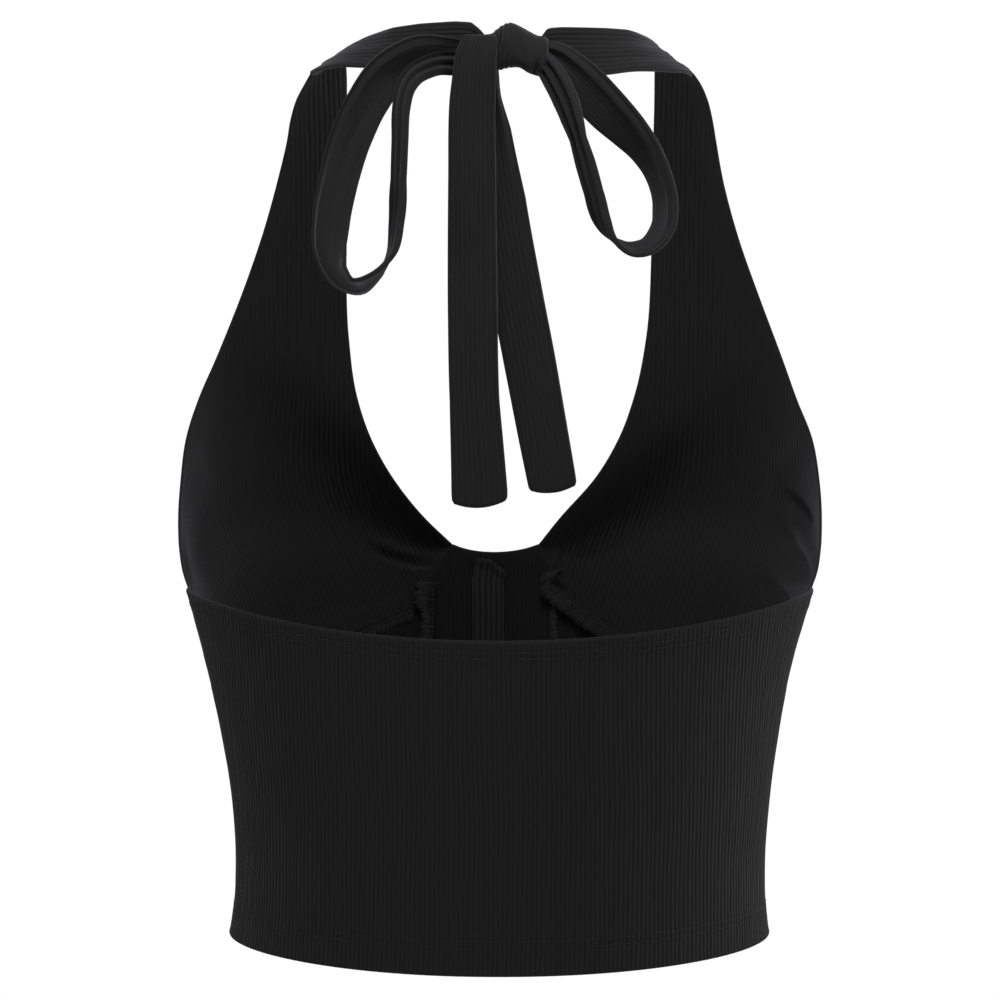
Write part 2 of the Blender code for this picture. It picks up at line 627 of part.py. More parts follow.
def build_ribbon(name, table, cells):
    """A stretch of tie along its own middle line, rolled about that line as the table says."""
    rows, columns = cells
    line = np.stack([column(table, RIBBON_COLUMNS, word) for word in ("across", "depth", "height")], axis=-1)
    steps = np.linalg.norm(np.diff(line, axis=0), axis=1)
    stations = np.concatenate(((0,), np.cumsum(steps)))
    at = np.linspace(0, stations[-1], rows + 1)
    middle = smooth(stations, line, at)
    turn = np.radians(smooth(stations, column(table, RIBBON_COLUMNS, "turn"), at))[:, None]
    width = TIE_WIDTH * np.interp(at, stations, column(table, RIBBON_COLUMNS, "width"))
    along = unit(np.gradient(middle, axis=0, edge_order=2))
    behind = np.array((0.0, 1.0, 0.0)) - along * along[:, 1:2]
    behind = unit(behind)
    sideways = unit(np.cross(behind, along))
    over = np.cos(turn) * sideways + np.sin(turn) * behind
    face = unit(np.cross(over, along))
    across = np.linspace(-0.5, 0.5, columns + 1)[None, :, None]
    grid = middle[:, None] + across * (over * width[:, None])[:, None]
    normals = np.repeat(face[:, None], columns + 1, axis=1)
    make_wall(name, grid, TIE_CLOTH, normals)


def build_knot():
    """The knot: soft rings from side to side, flat where the ribbons go in."""
    across = column(KNOT, KNOT_COLUMNS, "across")
    top = column(KNOT, KNOT_COLUMNS, "top")
    bottom = column(KNOT, KNOT_COLUMNS, "bottom")
    swell = column(KNOT, KNOT_COLUMNS, "swell")
    points = []
    for ring in range(len(KNOT)):
        for step in range(KNOT_POINTS):
            angle = 2 * math.pi * step / KNOT_POINTS
            sine = math.copysign(abs(math.sin(angle)) ** (2 / KNOT_SQUARENESS), math.sin(angle))
            cosine = math.copysign(abs(math.cos(angle)) ** (2 / KNOT_SQUARENESS), math.cos(angle))
            height = (top[ring] + bottom[ring]) / 2 + (top[ring] - bottom[ring]) / 2 * sine
            points.append((across[ring], KNOT_DEPTH + KNOT_HALF_DEPTH * swell[ring] * cosine, height))
    faces = [tuple(range(KNOT_POINTS))]
    for ring in range(len(KNOT) - 1):
        for step in range(KNOT_POINTS):
            here = ring * KNOT_POINTS + step
            beside = ring * KNOT_POINTS + (step + 1) % KNOT_POINTS
            faces.append((here, beside, beside + KNOT_POINTS, here + KNOT_POINTS))
    last = (len(KNOT) - 1) * KNOT_POINTS
    faces.append(tuple(range(last + KNOT_POINTS - 1, last - 1, -1)))
    make_object("bow_knot", np.array(points), faces)


def main():
    """Build every piece of the top."""
    for item in list(bpy.data.objects):
        bpy.data.objects.remove(item, do_unlink=True)
    build_body()
    build_strip()
    build_tie("neck_tie_left", 1, TIE_LEFT)
    build_tie("neck_tie_right", -1, TIE_RIGHT)
    build_knot()
    build_ribbon("bow_loop_left", LOOP_LEFT, LOOP_CELLS)
    build_ribbon("bow_loop_right", LOOP_RIGHT, LOOP_CELLS)
    build_ribbon("bow_tail_left", TAIL_LEFT, TAIL_CELLS)
    build_ribbon("bow_tail_right", TAIL_RIGHT, TAIL_CELLS)


main()
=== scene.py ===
# %% [markdown]
# # A halter neck top in black rib knit
#
# The top keeps the shape it has when worn, with nobody in it: a low straight back, two gathered
# cups cut in one with their straps, and two ties that meet in a bow at the nape. Each lesson
# builds one cut piece or one kind of sewing. Such cloth could be simulated, but knit under
# tension has a known form, so every piece is drawn as a surface from its own sizes, and its ribs,
# folds and stitches are laid on that surface. The cloth is then the same on every run.

# %% Load the frame
import json
import math

import bpy
import numpy as np
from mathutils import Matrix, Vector

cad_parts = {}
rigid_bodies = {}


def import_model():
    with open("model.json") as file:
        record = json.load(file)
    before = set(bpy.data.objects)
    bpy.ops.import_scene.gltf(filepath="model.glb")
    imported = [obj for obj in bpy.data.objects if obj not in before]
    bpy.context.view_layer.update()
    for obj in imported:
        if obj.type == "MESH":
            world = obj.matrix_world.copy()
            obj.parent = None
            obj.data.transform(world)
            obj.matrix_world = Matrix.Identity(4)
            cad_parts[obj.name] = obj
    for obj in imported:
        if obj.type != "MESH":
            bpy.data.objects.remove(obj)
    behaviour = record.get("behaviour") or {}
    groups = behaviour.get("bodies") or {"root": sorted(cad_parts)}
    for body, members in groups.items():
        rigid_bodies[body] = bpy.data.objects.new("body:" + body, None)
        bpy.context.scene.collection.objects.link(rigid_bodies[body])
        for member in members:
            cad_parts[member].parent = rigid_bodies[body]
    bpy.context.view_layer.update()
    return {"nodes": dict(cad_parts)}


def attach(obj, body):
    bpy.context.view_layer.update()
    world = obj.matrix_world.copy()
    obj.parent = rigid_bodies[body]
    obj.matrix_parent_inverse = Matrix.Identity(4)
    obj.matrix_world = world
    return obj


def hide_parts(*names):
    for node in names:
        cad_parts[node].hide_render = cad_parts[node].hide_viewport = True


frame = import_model()
MM = 0.001                     # one millimetre in metres; the sizes below are in millimetres
print("pieces to dress:", sorted(frame["nodes"]))

# %% [markdown]
# ## Curves through a few sizes
#
# A pattern cutter writes down a few widths and depths and draws smooth lines through them. The
# same is done here: short tables with a row for each section, and one function that runs a smooth
# curve through a column. Hermite segments are used because they pass through every value given
# and stay calm between them.

# %% Smooth curves through tables
def column(table, names, name):
    """One named column of a table."""
    return np.array([row[names.index(name)] for row in table])


def unit(vectors):
    """The same directions with a length of one."""
    return vectors / np.linalg.norm(vectors, axis=-1, keepdims=True)


def distances(points, axis=0):
    """Distance of each point from the first one, along an axis of a line or a grid of points."""
    steps = np.linalg.norm(np.diff(points, axis=axis), axis=-1)
    return np.insert(np.cumsum(steps, axis=axis), 0, 0, axis=axis)


def smooth(stations, values, at):
    """Smooth curve through values at rising stations, read at other stations."""
    stations = np.asarray(stations, dtype=float)
    values = np.asarray(values, dtype=float)
    at = np.asarray(at, dtype=float)
    slopes = np.gradient(values, stations, axis=0)
    left = np.clip(np.searchsorted(stations, at, side="right") - 1, 0, len(stations) - 2)
    span = stations[left + 1] - stations[left]
    share = (at - stations[left]) / span
    extra = (1,) * (values.ndim - 1)
    share = share.reshape(share.shape + extra)
    span = span.reshape(span.shape + extra)
    start = (1 + 2 * share) * (1 - share) ** 2 * values[left]
    start_slope = share * (1 - share) ** 2 * span * slopes[left]
    end = share ** 2 * (3 - 2 * share) * values[left + 1]
    end_slope = share ** 2 * (share - 1) * span * slopes[left + 1]
    return start + start_slope + end + end_slope


def at_height(table, names, name, height):
    """A column read smoothly at any height."""
    return smooth(column(table, names, "height"), column(table, names, name), height)


def soft_step(low, high, value):
    """0 below low, 1 above high, and an easy slope between."""
    share = np.clip((np.asarray(value, dtype=float) - low) / (high - low), 0, 1)
    return share * share * (3 - 2 * share)


def hill(value, middle, reach):
    """A soft hill, 1 at its middle, that fades out about two reaches away."""
    return np.exp(-((np.asarray(value, dtype=float) - middle) / reach) ** 2)


print("a smooth curve through 0, 1 and 4 reads", round(float(smooth((0, 1, 2), (0, 1, 4), 1.5)), 3),
      "between the last two")

# %% [markdown]
# ## The body's form
#
# Round the ribs the knit is stretched over an oval. The oval's half width and its depths to the
# back and the front change with height, so they stand in a table. The side seams lie just behind
# the middle, and the hem hangs a little lower at front and back than at the sides.

# %% Oval sections of the body
SIDE_SEAM_DEPTH = 4.0
ROUNDNESS = 2.08               # exponent of the oval section, 2 is an ellipse
HEM_HEIGHT = -399.1
HEM_DIP = 4.5
UNDERARM_HEIGHT = -244.0
BACK_DIP = 14.0

TORSO_COLUMNS = ("height", "half_width", "back_depth", "front_depth", "lean")
TORSO = (
    (-403.6, 121.4, 88.0, 90.0, 0.4),
    (-388.0, 119.4, 87.0, 90.2, 0.1),
    (-372.0, 118.8, 86.5, 90.5, -0.1),
    (-340.0, 120.4, 86.0, 92.5, -0.4),
    (-310.0, 124.6, 87.0, 96.0, 0.0),
    (-280.0, 130.5, 89.5, 101.0, 0.5),
    (-244.0, 139.6, 92.5, 105.3, 0.1),
    (-232.0, 142.0, 93.0, 106.0, 0.0),
)


def torso_share(across, height):
    """How far a place lies across the body: 0 at the middle, 1 at the side."""
    half_width = at_height(TORSO, TORSO_COLUMNS, "half_width", height)
    lean = at_height(TORSO, TORSO_COLUMNS, "lean", height)
    return np.clip(np.abs(across - lean) / half_width, 0, 1)


def torso_front(across, height):
    """Depth of the front of the body at a place across it."""
    depth = at_height(TORSO, TORSO_COLUMNS, "front_depth", height) + SIDE_SEAM_DEPTH
    share = torso_share(across, height) ** ROUNDNESS
    return SIDE_SEAM_DEPTH - depth * (1 - share) ** (1 / ROUNDNESS)


def torso_angle(across, height):
    """Angle round the oval, from the centre line, of a place across the body."""
    return np.arcsin(torso_share(across, height) ** (ROUNDNESS / 2))


def oval(angle, height, depth_name):
    """Point of the body's oval at an angle from the centre line, to the front or the back."""
    half_width = at_height(TORSO, TORSO_COLUMNS, "half_width", height)
    lean = at_height(TORSO, TORSO_COLUMNS, "lean", height)
    facing = 1 if depth_name == "back_depth" else -1
    depth = at_height(TORSO, TORSO_COLUMNS, depth_name, height) - facing * SIDE_SEAM_DEPTH
    sine = np.sin(np.abs(angle))
    cosine = np.clip(np.cos(angle), 0, 1)
    across = lean + np.sign(angle) * half_width * sine ** (2 / ROUNDNESS)
    depths = SIDE_SEAM_DEPTH + facing * depth * cosine ** (2 / ROUNDNESS)
    return np.stack(np.broadcast_arrays(across, depths, height), axis=-1)


def hem_height(angle):
    """Height of the hem at an angle from the centre line."""
    return HEM_HEIGHT - HEM_DIP * np.cos(angle) ** 2


back_hem = oval(np.linspace(-1, 1, 91) * math.pi / 2, HEM_HEIGHT, "back_depth")
print("round the back the hem measures", round(distances(back_hem)[-1]), "mm")

# %% [markdown]
# ## Cloth as a mesh
#
# Rib knit has ridges on both faces: where the outside has a groove, the inside has a ridge. A
# bump texture could suggest that, but it would look flat along cut edges and at the outline. So
# the ribs are real: columns of points, four to a rib, laid at the rib's own pitch. At a slanting
# edge a rib runs off the cloth, as it does when scissors cut through it. A map of each point's
# place in the knit, in ribs across and millimetres along, is kept for the finish.

# %% Pieces that ride on the body
KNIT = 1.1                     # thickness of one layer of the knit, ridges left out
RIB_PITCH = 2.12
RIB_DEPTH = 0.25               # how far a ridge stands out and a groove sinks in
RIB_PROFILE = np.array((-1.0, 0.45, 1.0, 0.45))
STEPS = len(RIB_PROFILE)


def new_object(name, data):
    """A new object in the scene."""
    made = bpy.data.objects.new(name, data)
    bpy.context.scene.collection.objects.link(made)
    return made


def make_piece(name, points, faces, knit_map):
    """A smooth mesh from points in millimetres, riding on the one body."""
    mesh = bpy.data.meshes.new(name)
    mesh.from_pydata((np.asarray(points) * MM).tolist(), [], faces)
    layer = mesh.uv_layers.new(name="knit")
    corners = np.empty(len(mesh.loops), dtype=np.int32)
    mesh.loops.foreach_get("vertex_index", corners)
    layer.uv.foreach_set("vector", np.asarray(knit_map, dtype=np.float32)[corners].ravel())
    mesh.shade_smooth()
    piece = new_object(name, mesh)
    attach(piece, "root")
    return piece


def grid_normals(grid):
    """Unit normals of a grid of points, by differences along its rows and columns."""
    up = np.gradient(grid, axis=0, edge_order=2)
    across = np.gradient(grid, axis=1, edge_order=2)
    return unit(np.cross(across, up))


def outward_normals(grid):
    """The same normals, turned so that all of them point away from the body's upright axis."""
    normals = grid_normals(grid)
    return normals * np.sign(np.sum(normals * grid * (1, 1, 0), axis=2))[..., None]


def strip_faces(here, there, faces):
    """Faces between two neighbouring lines of points; repeated points close up."""
    for ring in zip(here, here[1:], there[1:], there):
        ring = tuple(dict.fromkeys(ring))
        if len(ring) > 2:
            faces.append(ring)


print("ribs in 100 mm of cloth:", round(100 / RIB_PITCH), "with", STEPS, "lines of points each")

# %% [markdown]
# ### The two faces and the rolled edge
#
# Every row of the surface is measured along its length, and the rib lines are dropped onto it at
# equal distances from its middle, the same way that ribs stay parallel in the bolt. No knit is
# quite even, so they wander a little. A panel whose ribs lean gets its own count of them. The rim
# is a half round from face to face, because even a cut edge of knit is soft.

# %% A ribbed wall of cloth
EDGE_ROOM = 0.06               # ribs left free between the cloth's edge and the next line of points
EDGE_TURNS = (45, 90, 135)     # degrees at which the rolled rim gets a line of points
WANDER = 0.10                  # how far ribs stray, in ribs
UNEVENNESS = 0.25              # share by which one ridge is higher than another


def rib_places(grid, pitch=RIB_PITCH):
    """Place of each point of a grid in ribs, counted along its row from the row's middle."""
    arc = distances(grid, axis=1)
    return (arc - arc[:, grid.shape[1] // 2, None]) / pitch


def wander(ribs, level):
    """How far the ribs stray from their even spacing, in ribs, in slow uneven waves."""
    waves = np.sin(0.23 * ribs + 0.031 * level) + 0.7 * np.sin(0.57 * ribs - 0.052 * level + 1.3)
    return WANDER * (waves + 0.6 * np.sin(0.113 * level + 0.9 * np.sin(0.31 * ribs)))


def ribbed_wall(name, grid, ribs, thickness=KNIT, flip=False, relief=1.0):
    """Closed cloth with ribs on both faces, from a dense grid whose rows run across the ribs.
    Relief is how strongly the ribs stand out, less than 1 where the cloth is pulled tight."""
    rows, dense = grid.shape[:2]
    normals = grid_normals(grid) * (-1 if flip else 1)
    thickness = np.broadcast_to(thickness, rows).astype(float)
    first, last = ribs[:, 0].min() * STEPS, ribs[:, -1].max() * STEPS
    numbers = np.arange(math.floor(first), math.ceil(last) + 1)
    lines = numbers / STEPS
    level = distances(grid[:, dense // 2])
    relief = np.broadcast_to(relief, (rows, dense))[..., None]
    sheet = np.concatenate((grid, normals, relief), axis=2)
    places = np.arange(dense)
    ids = np.zeros((rows, len(lines)), dtype=int)
    ribs = ribs + wander(ribs, level[:, None])
    outer, inner, knit_map = [], [], []
    total = 0
    for i in range(rows):
        low, high = ribs[i, 0], ribs[i, -1]
        within = np.flatnonzero((lines > low + EDGE_ROOM) & (lines < high - EDGE_ROOM))
        at = np.concatenate(((low,), lines[within], (high,)))
        where = np.interp(at, ribs[i], places)
        here = np.stack([np.interp(where, places, values) for values in sheet[i].T], axis=-1)
        steps = numbers[within]
        ridge = np.concatenate(((0,), RIB_PROFILE[steps % STEPS], (0,)))
        groove = np.concatenate(((0,), RIB_PROFILE[(steps + STEPS // 2) % STEPS], (0,)))
        uneven = np.sin(np.floor(at) * 2.4 + level[i] * 0.11 + np.sin(level[i] * 0.05))
        depth = RIB_DEPTH * here[:, 6] * (1 + UNEVENNESS * uneven)
        normal = unit(here[:, 3:6])
        outer.append(here[:, :3] + normal * (thickness[i] / 2 + depth * ridge)[:, None])
        inner.append(here[:, :3] - normal * (thickness[i] / 2 + depth * groove)[:, None])
        knit_map.append(np.stack((at, np.full(len(at), level[i])), axis=-1))
        ids[i, :within[0]] = total
        ids[i, within] = total + 1 + np.arange(len(within))
        ids[i, within[-1] + 1:] = total + len(at) - 1
        total += len(at)
    points = np.concatenate(outer + inner)
    chart = np.concatenate(knit_map + [place + (0.5, 0) for place in knit_map])
    faces = []
    for here, there in zip(ids.tolist(), ids[1:].tolist()):
        strip_faces(here, there, faces)
    faces += [tuple(corner + total for corner in reversed(ring)) for ring in faces]
    loop = list(dict.fromkeys(ids[0].tolist() + ids[:, -1].tolist() + ids[-1, ::-1].tolist()
                              + ids[::-1, 0].tolist()))
    points, chart = roll_rim(points, chart, np.array(loop), total, -1 if flip else 1, faces)
    if flip:
        faces = [ring[::-1] for ring in faces]
    piece = make_piece(name, points, faces, chart)
    print(name, "ribs:", len(lines) // STEPS, "faces:", len(faces))
    return piece


def roll_rim(points, chart, loop, total, facing, faces):
    """A half round rim all round the cloth, from its outer face to its inner face."""
    middle = (points[loop] + points[loop + total]) / 2
    across = points[loop] - points[loop + total]
    radius = np.linalg.norm(across, axis=1, keepdims=True) / 2
    along = np.roll(middle, -1, axis=0) - np.roll(middle, 1, axis=0)
    outward = unit(np.cross(along, across)) * facing
    rims = [loop.tolist()]
    count = len(points)
    lines = [points]
    for turn in EDGE_TURNS:
        turned = math.radians(turn)
        lines.append(middle + math.cos(turned) * across / 2 + math.sin(turned) * radius * outward)
        rims.append(list(range(count, count + len(loop))))
        count += len(loop)
    rims.append((loop + total).tolist())
    for here, there in zip(rims, rims[1:]):
        strip_faces(there + there[:1], here + here[:1], faces)
    return np.concatenate(lines), np.concatenate([chart] + [chart[loop]] * len(EDGE_TURNS))

# %% [markdown]
# ### Creases placed one by one
#
# Worn cloth pulls into soft troughs where it is gathered or where a seam holds it back. They are
# never evenly spaced, so each one has its own row in a table: how far from the middle and how
# high it starts and ends, its width and its depth. A positive depth stands out of the body, a
# negative one is pushed in. Each is deepest in its middle and runs out at both ends. Along a
# seam they fade away, because there two pieces are held together.

# %% Soft troughs and ridges
CREASE_COLUMNS = ("across_start", "height_start", "across_end", "height_end", "width", "depth")
CREASE_BOW = 0.07              # how far a crease bows, as a share of its length
SEAM_FADE = 0.05               # part of a panel beside a seam in which creases fade away


def crease(grid, table, seams):
    """Push a grid out and in along its creases, but not along the edges named as seams."""
    rows, columns = grid.shape[:2]
    x, z = np.abs(grid[..., 0]), grid[..., 2]
    lift = np.zeros((rows, columns))
    for row in table:
        named = dict(zip(CREASE_COLUMNS, row))
        start = np.array((named["across_start"], named["height_start"]))
        end = np.array((named["across_end"], named["height_end"]))
        length = np.linalg.norm(end - start)
        along = (end - start) / length
        share = ((x - start[0]) * along[0] + (z - start[1]) * along[1]) / length
        bow = CREASE_BOW * length * np.sin(math.pi * np.clip(share, 0, 1))
        aside = (z - start[1]) * along[0] - (x - start[0]) * along[1] - bow
        fade = soft_step(-0.2, 0.35, share) * (1 - soft_step(0.65, 1.2, share))
        lift += named["depth"] * fade * np.exp(-(aside / named["width"]) ** 2)
    u = np.linspace(0, 1, columns)[None, :]
    v = np.linspace(0, 1, rows)[:, None]
    for name, distance in (("first", u), ("last", 1 - u), ("bottom", v), ("top", 1 - v)):
        if name in seams:
            lift = lift * soft_step(0, SEAM_FADE, distance)
    return grid + outward_normals(grid) * lift[..., None]


print("a crease is told by", ", ".join(CREASE_COLUMNS))

# %% [markdown]
# ## The back panel
#
# The back is one low panel, stretched smoothly round the ribs. Its hem is turned up once and its
# top edge is turned down, so both edges are nearly twice as thick as the rest. It could be a
# cylinder with a bump map, but its own grid lets the top edge dip and the turned edges swell.
# In the middle of the back the knit is pulled tightest, and its ribs stand out less.

# %% Back panel
HEM_TURN = 15.0                # depth of the turned hem
EDGE_TURN = 7.5                # depth of the turned top edge
TURNED = 0.75                  # how much thicker a turned edge is
HEM_ROWS = (11.2, 14.2)        # distances of the two rows of stitches from the hem
EDGE_ROWS = (3.9, 6.9)         # and from the top edge of the back
NEAR_HEM = np.arange(0, 17.0, 1.0)[:, None]      # distances from the hem of the back's close rows
NEAR_EDGE = np.arange(9.6, -0.1, -0.6)[:, None]  # and from its top edge
DENSE = 200                    # points along a row before the ribs are laid on it


def back_grid(rows, columns):
    """Middle surface of the back, from hem to top edge and from right to left side seam.
    The rows keep their distance from both edges, and are close together where it is stitched."""
    angles = np.linspace(-1, 1, columns + 1) * math.pi / 2
    top = UNDERARM_HEIGHT - BACK_DIP * np.cos(angles) ** 2
    hem = hem_height(angles)
    between = np.linspace(0, 1, rows + 1)[1:-1, None]
    low, high = hem + NEAR_HEM[-1], top - NEAR_EDGE[0]
    heights = np.concatenate((hem + NEAR_HEM, low + between * (high - low), top - NEAR_EDGE))
    return oval(np.broadcast_to(angles, heights.shape), heights, "back_depth")


def turned_edges(grid, top=EDGE_TURN, drawn=0.0):
    """Thickness of each row of a panel: nearly doubled where an edge is turned and stitched. Where
    it is drawn, the fold itself is a little thicker and the rows of stitches pull it thinner."""
    level = distances(grid[:, grid.shape[1] // 2])
    from_top = level[-1] - level
    extra = 1 - soft_step(HEM_TURN - 1.5, HEM_TURN + 2.0, level)
    if top:
        extra += soft_step(level[-1] - top - 2.0, level[-1] - top + 1.0, level)
    pulled = (sum(hill(level, row, 0.7) for row in HEM_ROWS)
              + sum(hill(from_top, row, 0.7) for row in EDGE_ROWS))
    fold = hill(level, 0, 1.3) + hill(from_top, 0, 1.3)
    return KNIT + TURNED * extra + drawn * (0.5 * fold - 0.45 * pulled)


BACK_CREASES = (
    (138.0, -262.0, 104.0, -282.0, 3.4, -0.7),
    (137.0, -276.0, 112.0, -292.0, 3.0, -0.5),
    (122.0, -356.0, 100.0, -362.0, 6.0, -0.5),
)
back = crease(back_grid(34, DENSE * 2), BACK_CREASES, ("first", "last"))
slack = 0.62 + 0.38 * soft_step(0.35, 0.85, np.abs(np.linspace(-1, 1, DENSE * 2 + 1)))
back_panel = ribbed_wall("back_panel_knit", back, rib_places(back), turned_edges(back, drawn=1.0),
                         relief=slack)
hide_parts("back_panel")

# %% [markdown]
# ## Centre front and midriff
#
# A narrow centre panel runs from the hem to the neckline. A midriff panel lies on each side of
# it, from the hem to the seam under the bust. All three lie on the body's oval, so they share
# its functions, and neighbouring panels meet along one curve that both of them use.

# %% Seams of the front
CUP_SEAM_HEIGHT = -285.0
JUNCTION_HEIGHT = -252.0
CUP_SEAM_SAG = 4.0
CUP_SEAM = {1: (-261.0, 2.6), -1: (-252.0, 4.6)}   # height at the centre seam and steepness
NECK_CORNER_HEIGHT = -235.4
NECK_DIP = 3.8

CENTRE_COLUMNS = ("height", "half_width", "lean")
CENTRE = (
    (-403.6, 37.0, 1.0),
    (-300.0, 31.5, 4.5),
    (-252.0, 29.0, 5.0),
    (-235.4, 20.2, 2.0),
)


def centre_seam(side, height):
    """Point of the centre panel's seam on one side."""
    heights = column(CENTRE, CENTRE_COLUMNS, "height")
    half_width = np.interp(height, heights, column(CENTRE, CENTRE_COLUMNS, "half_width"))
    lean = np.interp(height, heights, column(CENTRE, CENTRE_COLUMNS, "lean"))
    across = side * half_width + lean
    return np.stack((across, torso_front(across, height), height), axis=-1)


def cup_seam_height(share, side):
    """Height of the under-bust seam, from the centre panel (0) to the side seam (1)."""
    junction, steepness = CUP_SEAM[side]
    fall = (junction - CUP_SEAM_HEIGHT) * (1 - share) ** steepness
    return CUP_SEAM_HEIGHT + fall - CUP_SEAM_SAG * np.sin(math.pi * share)


def midriff_point(side, share, height):
    """Point of the midriff between the centre panel (share 0) and the side seam (share 1)."""
    start = torso_angle(centre_seam(side, height)[..., 0], height)
    angle = start + share * (math.pi / 2 - start)
    return oval(side * angle, height, "front_depth")


print("at the hem the centre panel is", 2 * CENTRE[0][1], "mm wide")

# %% Centre panel
CENTRE_TURN = 6.0              # depth of the turned neckline


def centre_grid(rows, columns):
    """Middle surface of the centre panel, from hem to neckline and from right to left seam."""
    shares = np.linspace(-1, 1, columns + 1)
    hem_half_width = at_height(CENTRE, CENTRE_COLUMNS, "half_width", HEM_HEIGHT)
    hem = hem_height(torso_angle(shares * hem_half_width, HEM_HEIGHT))
    top_rows = max(2, rows // 8)
    below = hem + np.linspace(0, 1, rows - top_rows + 1)[:, None] * (JUNCTION_HEIGHT - hem)
    top = NECK_CORNER_HEIGHT - NECK_DIP * (1 - shares ** 2)
    above = JUNCTION_HEIGHT + np.linspace(0, 1, top_rows + 1)[1:, None] * (top - JUNCTION_HEIGHT)
    heights = np.concatenate((below, above))
    left = centre_seam(1, heights)[..., 0]
    right = centre_seam(-1, heights)[..., 0]
    across = (left + right) / 2 + shares * (left - right) / 2
    return np.stack((across, torso_front(across, heights), heights), axis=-1)


centre = centre_grid(72, 80)[:, ::-1]
centre_panel = ribbed_wall("centre_front_knit", centre, rib_places(centre),
                           turned_edges(centre, top=CENTRE_TURN))
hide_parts("front_center_panel")

# %% Midriff panels
CENTRE_CROWDING = 1.15         # more than 1 puts more of the mesh near the centre


def shares_across(columns):
    """Shares from the centre seam (0) to the side (1), closer together near the centre."""
    return np.linspace(0, 1, columns + 1) ** CENTRE_CROWDING


def midriff_grid(side, rows, columns):
    """Middle surface of a midriff panel, from hem to under-bust seam, centre to side seam."""
    shares = shares_across(columns)
    start = torso_angle(centre_seam(side, HEM_HEIGHT)[0], HEM_HEIGHT)
    hem = hem_height(start + shares * (math.pi / 2 - start))
    heights = hem + np.linspace(0, 1, rows + 1)[:, None] * (cup_seam_height(shares, side) - hem)
    return midriff_point(side, np.broadcast_to(shares, heights.shape), heights)


MIDRIFF_CREASES = (
    (42.0, -262.0, 74.0, -300.0, 3.6, -0.8),
    (66.0, -284.0, 92.0, -318.0, 3.2, -0.6),
    (128.0, -292.0, 112.0, -318.0, 3.4, -0.6),
    (119.0, -340.0, 104.0, -352.0, 5.0, -0.5),
)
midriffs = {}
for side, word in ((1, "left"), (-1, "right")):
    midriff = crease(midriff_grid(side, 50, DENSE), MIDRIFF_CREASES, ("first", "last", "top"))
    panel = ribbed_wall("midriff_knit_" + word, midriff, rib_places(midriff),
                        turned_edges(midriff, top=0), flip=side > 0)
    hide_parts("front_side_panel_" + word)
    midriffs[side] = midriff

# %% [markdown]
# ## The cups and straps
#
# Each cup is cut in one with its strap. It could be inflated by a simulation, but its form comes
# from just two edges, the neckline and the armhole, and from how far the cloth swings out between
# them. So every section is a curve with two handles: the angles at which the cloth leaves one
# edge and reaches the other.

# %% Tables of the cup
NECKLINE_COLUMNS = ("height", "across", "depth", "lean")
NECKLINE = (
    (-235.4, 20.2, -104.5, 2.0),
    (-223.0, 31.9, -107.5, 3.6),
    (-204.0, 47.9, -108.0, 2.8),
    (-185.0, 58.6, -105.0, 2.4),
    (-166.0, 65.1, -100.0, 2.1),
    (-137.0, 69.8, -90.0, 1.2),
    (-94.0, 71.0, -70.0, 0.5),
    (-47.0, 70.3, -42.0, 0.0),
    (-24.0, 69.8, -22.0, -0.3),
    (-13.5, 69.5, -10.5, -0.3),
    (-4.0, 69.6, 0.0, -0.1),
)
ARMHOLE_COLUMNS = ("height", "across", "depth", "lean")
ARMHOLE = (
    (-244.0, 139.6, 4.0, 0.1),
    (-238.0, 143.0, -9.0, 0.0),
    (-230.0, 145.4, -23.0, 0.0),
    (-217.0, 147.0, -39.0, 0.0),
    (-199.5, 146.8, -55.0, 0.0),
    (-182.0, 144.8, -69.0, 0.4),
    (-164.5, 138.9, -79.0, 1.1),
    (-146.0, 131.7, -85.0, 0.4),
    (-117.5, 120.4, -81.0, 0.0),
    (-89.0, 109.7, -66.0, 0.0),
    (-61.0, 101.1, -46.0, -0.2),
    (-43.0, 96.7, -30.0, -0.7),
    (-33.5, 94.7, -21.0, -0.7),
    (-24.5, 91.8, -12.0, -0.9),
    (-17.0, 87.8, -4.5, -1.2),
    (-13.2, 85.2, 0.0, -0.9),
)
CUP_COLUMNS = ("neck_height", "arm_height", "neck_turn", "neck_reach",
               "arm_turn", "arm_reach", "drop")
CUP = (
    (-244.0, -265.0, 32.0, 52.0, 90.0, 78.0, 8.0),
    (-235.4, -244.0, 44.0, 66.0, 90.0, 92.0, 5.0),
    (-221.0, -224.0, 46.0, 64.0, 88.0, 80.0, 2.0),
    (-200.0, -196.0, 40.0, 50.0, 78.0, 60.0, 0.0),
    (-178.0, -170.0, 28.0, 36.0, 64.0, 42.0, 0.0),
    (-150.0, -143.0, 16.0, 24.0, 42.0, 26.0, 0.0),
    (-115.0, -108.0, 10.0, 16.0, 24.0, 17.0, 0.0),
    (-80.0, -77.0, 6.0, 11.0, 12.0, 12.0, 0.0),
    (-48.0, -50.0, 4.0, 8.0, 6.0, 8.0, 0.0),
    (-24.0, -34.0, 2.0, 7.0, 4.0, 7.0, 0.0),
    (-13.5, -23.0, 1.0, 6.5, 3.0, 6.5, 0.0),
    (-4.0, -13.2, 0.0, 5.5, 0.0, 5.5, 0.0),
)
print("sections of a cup and its strap:", len(CUP))

# %% Sections of the cup
EDGE_SHARE = 0.10              # part of a section that is drawn onto its exact edge


